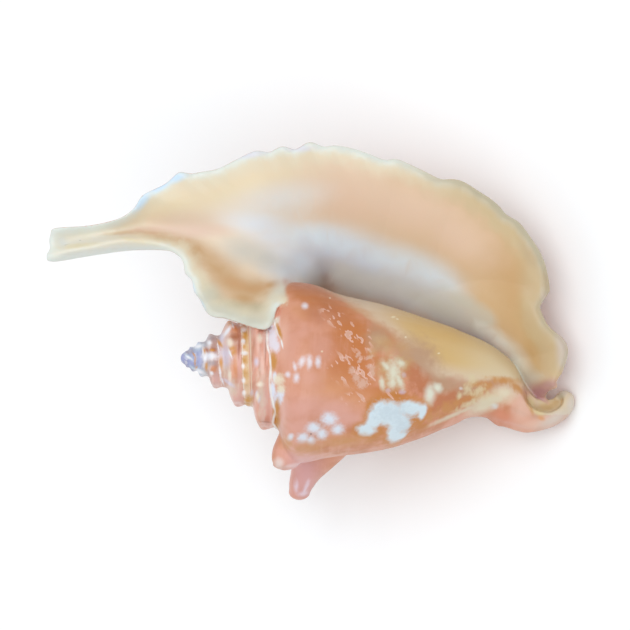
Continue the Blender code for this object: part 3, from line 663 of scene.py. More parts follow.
def spireMesh():                     # the lattice carries the rule's values, the tree shapes the whorls
    angle = 2.0 * math.pi * np.arange(spire["sides"]) / spire["sides"]
    evenly = np.arange(spire["start"], spire["end"], spire["spacing"])
    stations = np.concatenate([spire["firstStations"], evenly])
    station, angle = np.meshgrid(stations, angle, indexing="ij")
    turns, whorl, near, far = seamsAround(station, angle)
    rings = np.stack([station, np.cos(angle), np.sin(angle)], axis=2)
    mesh = ringMesh(rings)
    tip = np.sqrt(1.0 - (1.0 - np.clip(station / spire["tipLength"], 0.0, 1.0)) ** 2)
    fields = {
        "station": station, "angle": angle, "share": turns - whorl, "height": far - near,
        "nearRadius": smoothCurve(seamRadii, near)[..., 0] * tip,
        "farRadius": smoothCurve(seamRadii, far)[..., 0] * tip,
        "middle": spireMiddle(station),
    }
    for name, values in fields.items():
        mesh.attributes.new(name, "FLOAT", "POINT").data.foreach_set("value", values.ravel())

    sizes = {
        "Knobs per turn": spire["knobsPerTurn"], "Knob phase": math.radians(spire["knobPhase"]),
        "Knob height": spire["knobHeight"], "Knob place": spire["knobPlace"],
        "Knob width": spire["knobWidth"], "Knob swing": spire["knobSwing"], "Knob level": spire["knobLevel"],
        "Seam depth": spire["seamDepth"], "Seam width": spire["seamWidth"],
        "Shoulder start": spire["shoulderStart"], "Shoulder end": spire["shoulderEnd"],
        "Ridges": spire["ridges"], "Ridge height": spire["ridgeHeight"], "Least radius": spire["leastRadius"],
    }
    tree, given = newTree("spire whorls", sizes)
    given = given.outputs
    field = {
        name: addNode(tree, "GeometryNodeInputNamedAttribute", {"Name": name}, data_type="FLOAT").outputs[0]
        for name in fields
    }

    field["rise"] = addNode(tree, "ShaderNodeMapRange", {
        0: field["share"], 1: given["Shoulder start"], 2: given["Shoulder end"],
    }, interpolation_type="SMOOTHSTEP").outputs[0]
    steps = [
        ("gain", "SUBTRACT", "farRadius", "nearRadius"),
        ("plain", "MULTIPLY_ADD", "gain", "rise", "nearRadius"),
        ("around", "ADD", "angle", "Knob phase"),
        ("around", "MULTIPLY", "around", "Knobs per turn"),
        ("around", "COSINE", "around"),
        ("crest", "MULTIPLY_ADD", "around", "Knob swing", "Knob level"),
        ("crest", "MAXIMUM", "crest", 0.0),
        ("hump", "SUBTRACT", "share", "Knob place"),
        ("hump", "DIVIDE", "hump", "Knob width"),
        ("hump", "MULTIPLY", "hump", "hump"),
        ("hump", "MULTIPLY", "hump", -1.0),
        ("hump", "EXPONENT", "hump"),
        ("knob", "MULTIPLY", "crest", "hump"),
        ("knob", "MULTIPLY", "knob", "Knob height"),
        ("groove", "SUBTRACT", 1.0, "share"),
        ("groove", "MINIMUM", "share", "groove"),
        ("groove", "DIVIDE", "groove", "Seam width"),
        ("groove", "MULTIPLY", "groove", "groove"),
        ("groove", "MULTIPLY", "groove", -1.0),
        ("groove", "EXPONENT", "groove"),
        ("groove", "MULTIPLY", "groove", "Seam depth"),
        ("fine", "MULTIPLY", "share", "Ridges"),
        ("fine", "MULTIPLY", "fine", 2.0 * math.pi),
        ("fine", "COSINE", "fine"),
        ("fine", "MULTIPLY_ADD", "fine", "Ridge height", "knob"),
        ("relief", "SUBTRACT", "fine", "groove"),
        ("radius", "MULTIPLY_ADD", "relief", "height", "plain"),
        ("radius", "MAXIMUM", "radius", "Least radius"),
        ("y", "COSINE", "angle"),
        ("y", "MULTIPLY_ADD", "y", "radius", "middle"),
        ("z", "SINE", "angle"),
        ("z", "MULTIPLY", "z", "radius"),
    ]
    for name, operation, *terms in steps:
        values = {}
        for k, term in enumerate(terms):         # a number, a field made so far, or an input of the tree
            values[k] = term if isinstance(term, float) else field[term] if term in field else given[term]
        field[name] = addNode(tree, "ShaderNodeMath", values, operation=operation).outputs[0]
    place = addNode(tree, "ShaderNodeCombineXYZ", {0: field["station"], 1: field["y"], 2: field["z"]})
    shaped = addNode(tree, "GeometryNodeSetPosition", {
        "Geometry": given["Geometry"], "Position": place.outputs[0],
    })
    finishTree(tree, shaped.outputs[0])
    return grown(mesh, tree, sizes)


def seamPath(turns, shift, lift):    # along a seam, moved along the axis and off the surface
    turn = np.arange(*turns, spire["seamStep"])
    seam = np.interp(turn, turnTable, seamTable)
    atSeam = smoothCurve(seamRadii, seam)[:, 0]
    station = seam + shift * atSeam
    angle = 2.0 * math.pi * (turn + 0.25)
    radius = atSeam + lift
    points = np.column_stack([
        station, spireMiddle(station) + radius * np.cos(angle), radius * np.sin(angle),
    ])
    mesh = bpy.data.meshes.new("seam")
    mesh.from_pydata([tuple(p) for p in points], [(k, k + 1) for k in range(len(points) - 1)], [])
    return mesh


def beadMesh():                      # a row of beads along the seams
    sizes = {
        "Spacing": spire["beadSpacing"], "Bead": spire["beadSize"], "Growth": spire["beadGrowth"],
        "Base": spire["beadBase"], "Smallest": spire["beadChance"][0], "Largest": spire["beadChance"][1],
        "Seed": spire["beadSeed"],
    }
    tree, given = newTree("seam beads", sizes)
    given = given.outputs
    line = addNode(tree, "GeometryNodeMeshToCurve", {0: given["Geometry"]}).outputs[0]
    dots = addNode(tree, "GeometryNodeResampleCurve", {
        "Curve": line, "Length": given["Spacing"],
    }, mode="LENGTH")
    tangent = addNode(tree, "GeometryNodeInputTangent").outputs[0]
    along = addNode(tree, "FunctionNodeAlignRotationToVector", {"Vector": tangent}, axis="X").outputs[0]
    out = addNode(tree, "ShaderNodeVectorMath", {
        0: addNode(tree, "GeometryNodeInputPosition").outputs[0], 1: (0.0, 1.0, 1.0),
    }, operation="MULTIPLY").outputs[0]
    turned = addNode(tree, "FunctionNodeAlignRotationToVector", {
        "Rotation": along, "Vector": out,
    }, axis="Z", pivot_axis="X").outputs[0]
    size = addNode(tree, "ShaderNodeVectorMath", {0: out}, operation="LENGTH").outputs[1]
    chance = addNode(tree, "FunctionNodeRandomValue", {
        2: given["Smallest"], 3: given["Largest"], "Seed": given["Seed"],
    }, data_type="FLOAT").outputs[1]
    swell = size
    for operation, term in (("MULTIPLY", given["Growth"]), ("ADD", given["Base"]), ("MULTIPLY", chance)):
        swell = addNode(tree, "ShaderNodeMath", {0: swell, 1: term}, operation=operation).outputs[0]
    scale = addNode(tree, "ShaderNodeVectorMath", {
        0: given["Bead"], "Scale": swell,
    }, operation="SCALE").outputs[0]
    ball = addNode(tree, "GeometryNodeMeshIcoSphere", {
        "Radius": 1.0, "Subdivisions": spire["beadDivisions"],
    }).outputs[0]
    beads = addNode(tree, "GeometryNodeInstanceOnPoints", {
        "Points": dots.outputs[0], "Instance": ball, "Rotation": turned, "Scale": scale,
    })
    finishTree(tree, beads.outputs[0])
    return grown(seamPath(spire["beadTurns"], spire["beadShift"], spire["beadLift"]), tree, sizes)


def threadMesh():                    # the raised thread on the last seam
    sizes = {"Thickness": spire["threadThickness"]}
    tree, given = newTree("seam thread", sizes)
    given = given.outputs
    line = addNode(tree, "GeometryNodeMeshToCurve", {0: given["Geometry"]}).outputs[0]
    ring = addNode(tree, "GeometryNodeCurvePrimitiveCircle", {
        "Resolution": spire["threadSides"], "Radius": given["Thickness"],
    }).outputs[0]
    tube = addNode(tree, "GeometryNodeCurveToMesh", {
        "Curve": line, "Profile Curve": ring, "Fill Caps": True,
    })
    finishTree(tree, tube.outputs[0])
    return grown(seamPath(spire["threadTurns"], 0.0, spire["threadLift"]), tree, sizes)


def settle(shell):                   # the mesh that its modifiers make
    mesh = bpy.data.meshes.new_from_object(shell.evaluated_get(bpy.context.evaluated_depsgraph_get()))
    shell.modifiers.clear()
    before = shell.data
    shell.data = mesh
    bpy.data.meshes.remove(before)
    mesh.calc_loop_triangles()
    return len(mesh.loop_triangles)


def pointsOf(mesh):                  # as rows of X, Y and Z
    points = np.zeros(len(mesh.vertices) * 3)
    mesh.vertices.foreach_get("co", points)
    return points.reshape(-1, 3)


def report(stage):
    print(f"{stage}: {time.time() - startTime:.1f} s")


markedSide = {                       # where small marks lie, and the skin stays finely divided
    "start": -1.0,                   # station
    "spireEnd": 30.0,                # up to here also close to the lip
    "lowest": -3.0,                  # below the coiling axis
    "across": 26.0,                  # towards the lip
    "offLip": 0.4,                   # above its inner face
}


def keepFine(shell):                 # weights that keep the marked side of the whorls finely divided
    points = pointsOf(shell.data)
    plan = points[:, :2]
    centre = smoothCurve(centreLine, np.clip(points[:, 0], 0.0, lip["end"]))[:, 0]
    besides = points[:, 1] - centre < markedSide["across"]
    clear = points[:, 2] - lipHeight(plan) > markedSide["offLip"]
    fine = (points[:, 0] > markedSide["start"]) & (points[:, 2] > markedSide["lowest"])
    fine &= besides & (clear | (points[:, 0] < markedSide["spireEnd"]))
    group = shell.vertex_groups.new(name="plain")
    group.add(np.flatnonzero(~fine).tolist(), 1.0, "REPLACE")


def growShell():
    meshes = [lipMesh()]
    report("lip")
    meshes += [bodyMesh(), spireMesh(), beadMesh(), threadMesh()]
    meshes += [knobMesh(angle, rows) for angle, rows in shoulderKnobs.items()]
    report("whorls, beads and knobs")
    bm = bmesh.new()
    for mesh in meshes:
        bm.from_mesh(mesh)
        bpy.data.meshes.remove(mesh)
    mesh = bpy.data.meshes.new("conchShell")
    bm.to_mesh(mesh)
    bm.free()
    shell = bpy.data.objects.new("conchShell", mesh)
    bpy.context.scene.collection.objects.link(shell)
    skin = shell.modifiers.new("fuse", "REMESH")
    skin.mode = "VOXEL"
    skin.voxel_size = whole["grain"]
    soften = shell.modifiers.new("soften", "SMOOTH")
    soften.factor = whole["softness"]
    soften.iterations = whole["softening"]
    count = settle(shell)
    report(f"fused skin of {count} triangles")
    keepFine(shell)
    thin = shell.modifiers.new("thin", "DECIMATE")
    thin.ratio = whole["triangles"] / count
    thin.vertex_group = "plain"
    settle(shell)
    report("thinned")
    return shell


turnMatrix = Euler((0.0, math.radians(whole["restTurn"]), 0.0)).to_matrix()


def keepLargest(bm):                 # without the bubbles that the fusing leaves inside the solid
    for vert in bm.verts:
        vert.tag = False
    parts = []
    for first in bm.verts:
        if first.tag:
            continue
        first.tag = True
        part = [first]
        for vert in part:            # the list grows while the loop walks over the joined points
            for edge in vert.link_edges:
                other = edge.other_vert(vert)
                if not other.tag:
                    other.tag = True
                    part.append(other)
        parts.append(part)
    parts.sort(key=len)
    bubbles = [vert for part in parts[:-1] for vert in part]
    print(f"bubbles: {len(parts) - 1}, with {len(bubbles)} points")
    bmesh.ops.delete(bm, geom=bubbles, context="VERTS")


def layDown(shell):                  # turned onto the knobs of its back, which are worn flat
    place = Matrix.Translation(whole["tip"]) @ turnMatrix.to_4x4() @ Matrix.Scale(mm, 4)
    shell.data.transform(place)
    bm = bmesh.new()
    bm.from_mesh(shell.data)
    keepLargest(bm)
    everything = bm.verts[:] + bm.edges[:] + bm.faces[:]
    floorPlane = {"plane_co": (0, 0, 0), "plane_no": (0, 0, -1)}
    bmesh.ops.bisect_plane(bm, geom=everything, dist=1e-8, clear_outer=True, **floorPlane)
    bmesh.ops.holes_fill(bm, edges=[edge for edge in bm.edges if edge.is_boundary])
    bmesh.ops.triangulate(bm, faces=bm.faces)
    bm.to_mesh(shell.data)
    bm.free()


def fitInBox(shell):                 # the fused skin keeps within the size of the frame
    points = pointsOf(shell.data)
    low, high = points.min(axis=0), points.max(axis=0)
    frameLow, frameHigh = np.array(cadBox[0]), np.array(cadBox[1])
    share = min(1.0, float(((frameHigh - frameLow) / (high - low)).min()))
    middle = (low + high) / 2
    middle[2] = 0.0
    goal = (frameLow + frameHigh) / 2
    goal[2] = 0.0
    slack = 0.5 * mm                 # that its middle may lie off the frame's
    points = (points - middle) * share + np.clip(middle, goal - slack, goal + slack)
    low, high = points.min(axis=0), points.max(axis=0)
    points += np.maximum(frameLow - low, 0.0) + np.minimum(frameHigh - high, 0.0)
    shell.data.vertices.foreach_set("co", points.ravel())
    print("kept", round(share, 5), "of the size, shell box", low, high)
    return points


shell = growShell()
layDown(shell)
worldPoints = fitInBox(shell)
shell.data.shade_smooth()
shell.data.materials.clear()
shell.data.materials.append(porcelain)
report("laid down")

# Where the tip of the spire lies in the photo, and its scale
photo = {
    "apexColumn": 180,
    "apexRow": 358,
    "mmPerPixel": 0.3,
}
# Marks of the skin, from the first to the last that is laid on. Each has a colour, how soft and how ragged
# its edge is, the pattern that makes it ragged, and its strength. Its spots were picked from the
# photo: column and row, half length, half width, all in pixels, and turn in degrees
lipMarks = {
    "throat glaze": {"colour": "cfd6dd", "soft": 0.9, "spots": [
        (318, 262, 26, 22, 0), (362, 278, 36, 18, -15), (405, 292, 36, 18, -18), (447, 312, 34, 15, -28),
        (478, 336, 26, 10, -40)
    ]},
    "tan far side": {"colour": "c99d62", "soft": 0.9, "strength": 0.85, "spots": [
        (517, 283, 50, 22, -66), (540, 345, 30, 14, -80)
    ]},
    "warm far lip": {"colour": "d5ae80", "soft": 1.0, "strength": 0.62, "spots": [
        (470, 205, 60, 24, -38), (505, 250, 30, 24, -60), (425, 184, 50, 16, -18)
    ]},
    "pink peach": {"colour": "ebcaae", "soft": 0.9, "spots": [
        (405, 208, 62, 24, -12), (455, 236, 40, 22, -32), (350, 195, 40, 26, 0)
    ]},
    "warm cream side": {"colour": "efdcb6", "soft": 0.9, "strength": 0.8, "spots": [
        (235, 188, 60, 14, 18), (170, 205, 34, 12, 22)
    ]},
    "pale blush": {"colour": "e2c6ac", "strength": 0.8, "spots": [
        (185, 224, 40, 10, 2)
    ]},
    "white glaze": {"colour": "ebe6df", "soft": 1.0, "ragged": 0.1, "spots": [
        (262, 218, 34, 12, -5), (320, 232, 42, 10, -5), (280, 200, 38, 13, 8)
    ]},
    # Partly white glaze, partly a painted reflection of a cool sky on the glossy slope into the throat
    "sky glaze": {"colour": "e6ebf3", "soft": 1.0, "ragged": 0.1, "strength": 0.75, "spots": [
        (258, 226, 26, 9, -8), (272, 238, 22, 9, -10), (284, 251, 24, 12, -15)
    ]},
    # Partly blue-white glaze, partly a painted reflection on the glossy slope into the throat
    "blue glaze": {"colour": "d8e1f4", "soft": 1.0, "ragged": 0.1, "strength": 0.8, "spots": [
        (345, 252, 28, 11, -12), (366, 262, 24, 9, -14)
    ]},
    # Partly white glaze, partly a painted highlight along the slope into the throat
    "bright band": {"colour": "e9f7ff", "soft": 1.0, "ragged": 0.1, "spots": [
        (320, 238, 30, 10, -6), (348, 247, 30, 11, -10), (376, 256, 36, 12, -13), (403, 264, 34, 14, -16),
        (428, 274, 30, 13, -24), (446, 284, 16, 8, -35)
    ]},
    "grey floor": {"colour": "e8ebe4", "soft": 0.9, "ragged": 0.2, "spots": [
        (338, 272, 20, 10, -10), (365, 282, 34, 10, -15), (405, 293, 34, 10, -18)
    ]},
    "grey floor far": {"colour": "d5d2c1", "soft": 0.9, "ragged": 0.2, "spots": [
        (447, 311, 30, 9, -26), (474, 324, 22, 8, -38), (463, 303, 24, 8, -32), (484, 316, 12, 7, -45)
    ]},
    "channel glaze": {"colour": "f3f4e8", "soft": 0.8, "ragged": 0.2, "spots": [
        (486, 331, 12, 5, -42), (502, 347, 18, 9, -46), (513, 362, 18, 11, -56), (524, 378, 14, 10, -60)
    ]},
    "throat brown": {"colour": "bd917c", "soft": 1.0, "ragged": 0.1, "strength": 0.45, "spots": [
        (329, 287, 9, 5, 15), (326, 277, 5, 6, 0)
    ]},
    # Painted shade: the grey of the shadowed hollow at the back of the throat
    "throat grey": {"colour": "d0d0d6", "soft": 1.0, "strength": 0.75, "spots": [
        (308, 256, 17, 8, -80), (322, 266, 12, 8, 0)
    ]},
    "lobe tan": {"colour": "c69964", "soft": 1.0, "strength": 0.88, "spots": [
        (172, 241, 18, 3, -10), (198, 252, 18, 9, -35), (216, 266, 24, 12, -38), (230, 282, 24, 13, -35),
        (250, 289, 24, 10, -6), (272, 285, 10, 4, 15), (244, 298, 16, 8, -12)
    ]},
    "lobe orange": {"colour": "cf9c6a", "soft": 1.0, "strength": 0.5, "spots": [
        (262, 288, 16, 4, 5), (238, 284, 12, 5, -20)
    ]},
    "lobe dusk": {"colour": "c0b596", "soft": 1.0, "strength": 0.8, "spots": [
        (234, 306, 24, 5, -14), (256, 308, 14, 5, 0), (210, 294, 16, 8, -45)
    ]},
    "lobe cream ridge": {"colour": "dcd8c9", "soft": 1.0, "spots": [
        (275, 300, 17, 6, 66), (282, 290, 8, 6, 40)
    ]},
    "lobe blush": {"colour": "c98a62", "soft": 1.0, "strength": 0.85, "spots": [
        (289.5, 291, 4, 12, 0), (286, 281, 3, 4, 0)
    ]},
    "hollow grey": {"colour": "d3d7de", "soft": 1.0, "strength": 0.85, "spots": [
        (284, 270, 20, 10, -15), (300, 262, 10, 9, 0)
    ]},
    "cool veil": {"colour": "c9c6bc", "soft": 1.0, "strength": 0.75, "spots": [
        (244, 251, 20, 11, -20), (262, 258, 16, 9, -20)
    ]},
    "orange crease": {"colour": "cd9560", "soft": 1.0, "ragged": 0.4, "grain": "middle", "strength": 0.7,
        "spots": [
        (122, 232.5, 18, 1.8, 4), (148, 232, 18, 1.8, -2), (172, 238, 18, 2.6, -8)
    ]},
    "blush wedge": {"colour": "e6c6b0", "soft": 0.8, "spots": [
        (160, 229, 34, 3, 2), (198, 231, 28, 6, 0)
    ]},
    "tail yellow": {"colour": "e9d6a0", "ragged": 0.4, "grain": "middle", "strength": 0.7, "spots": [
        (75, 246, 20, 2.2, 6), (131, 240, 8, 1.6, -15), (158, 246, 16, 1.6, -18)
    ]},
    # Painted shade: mauve-grey along the tail's lower edge, which faces down away from the light
    "tail mauve": {"colour": "c4b9c0", "grain": "middle", "strength": 0.8, "spots": [
        (78, 252.5, 22, 1.6, 7), (118, 249, 20, 1.4, 3), (140, 250, 14, 1.6, -4)
    ]},
    # Painted reflection: pale sky blue on the tail's upper edges
    "tail sky": {"colour": "d3dfe8", "strength": 0.8, "spots": [
        (70, 232, 26, 3, 6), (105, 226, 20, 2.6, 10), (60, 240, 6, 8, 0)
    ]},
}
rimMarks = {
    "lobe grey": {"colour": "cdcab8", "soft": 1.0, "strength": 0.85, "spots": [
        (222, 312, 26, 6, -18), (252, 322, 22, 8, 4), (204, 300, 8, 12, -45)
    ]},
    "pits": {"colour": "8f8a76", "soft": 0.6, "ragged": 0.1, "grain": "fine", "strength": 0.8, "spots": [
        (285, 241.3, 0.8, 0.8, 0), (264, 258, 0.7, 0.7, 0), (271, 261.7, 0.7, 0.7, 0),
        (270.9, 265.6, 0.7, 0.7, 0), (259.7, 225.5, 0.6, 1, 0), (66, 245, 1.2, 0.6, 20),
        (70, 243.3, 0.9, 0.6, 0), (75, 241.2, 1.4, 0.6, 10), (80, 240, 1.2, 0.6, 0), (85, 238, 1, 0.6, 0),
        (158, 204, 0.7, 0.7, 0)
    ]},
    "pearl flecks": {"colour": "fbf5ec", "soft": 0.7, "ragged": 0.4, "grain": "fine", "strength": 0.9,
        "spots": [
        (205, 213, 0.9, 1.3, 0), (208, 205, 1.2, 0.9, 0), (211, 208, 1.3, 0.8, 40),
        (213, 203, 1.1, 0.8, 0), (215.5, 206, 1.2, 0.8, -30), (219, 208, 0.9, 0.9, 0),
        (207, 209.5, 0.9, 0.7, 0)
    ]},
    # Painted reflection: pale sky blue on the upper left edges of the lip and the lobe
    "sky blue edge": {"colour": "d3e9fa", "strength": 0.95, "spots": [
        (142, 201, 12, 4, 50), (176, 178, 10, 4, 15), (160, 188, 10, 3, 30), (190, 288, 9, 4, -70),
        (198, 304, 8, 4, -50)
    ]},
    "lilac edge": {"colour": "e0dcf0", "strength": 0.5, "spots": [
        (250, 155, 16, 3, 10), (300, 149, 14, 3, 0)
    ]},
    "notch purple": {"colour": "bb8790", "soft": 1.0, "grain": "middle", "strength": 0.95, "spots": [
        (546, 384, 13, 5, 6), (541, 391, 11, 8, -12), (536, 399, 9, 10, -60), (547, 391, 7, 5, 20)
    ]},
    "front tan": {"colour": "c9ac80", "soft": 1.0, "strength": 0.85, "spots": [
        (546, 352, 9, 26, 4), (538, 376, 10, 8, 0), (531, 316, 8, 14, 0), (530, 286, 9, 18, 10)
    ]},
    "front lobe blush": {"colour": "cbb9aa", "soft": 1.0, "strength": 0.85, "spots": [
        (561, 344, 5, 22, 0), (545, 302, 3, 10, 15)
    ]},
    "grey under notch": {"colour": "dcd5c6", "soft": 1.0, "strength": 0.7, "spots": [
        (530, 378, 12, 5, 10)
    ]},
    "brown rim": {"colour": "b79a74", "soft": 0.9, "strength": 0.5, "spots": [
        (528, 255, 5, 16, 30), (545, 282, 4, 12, 10)
    ]},
}
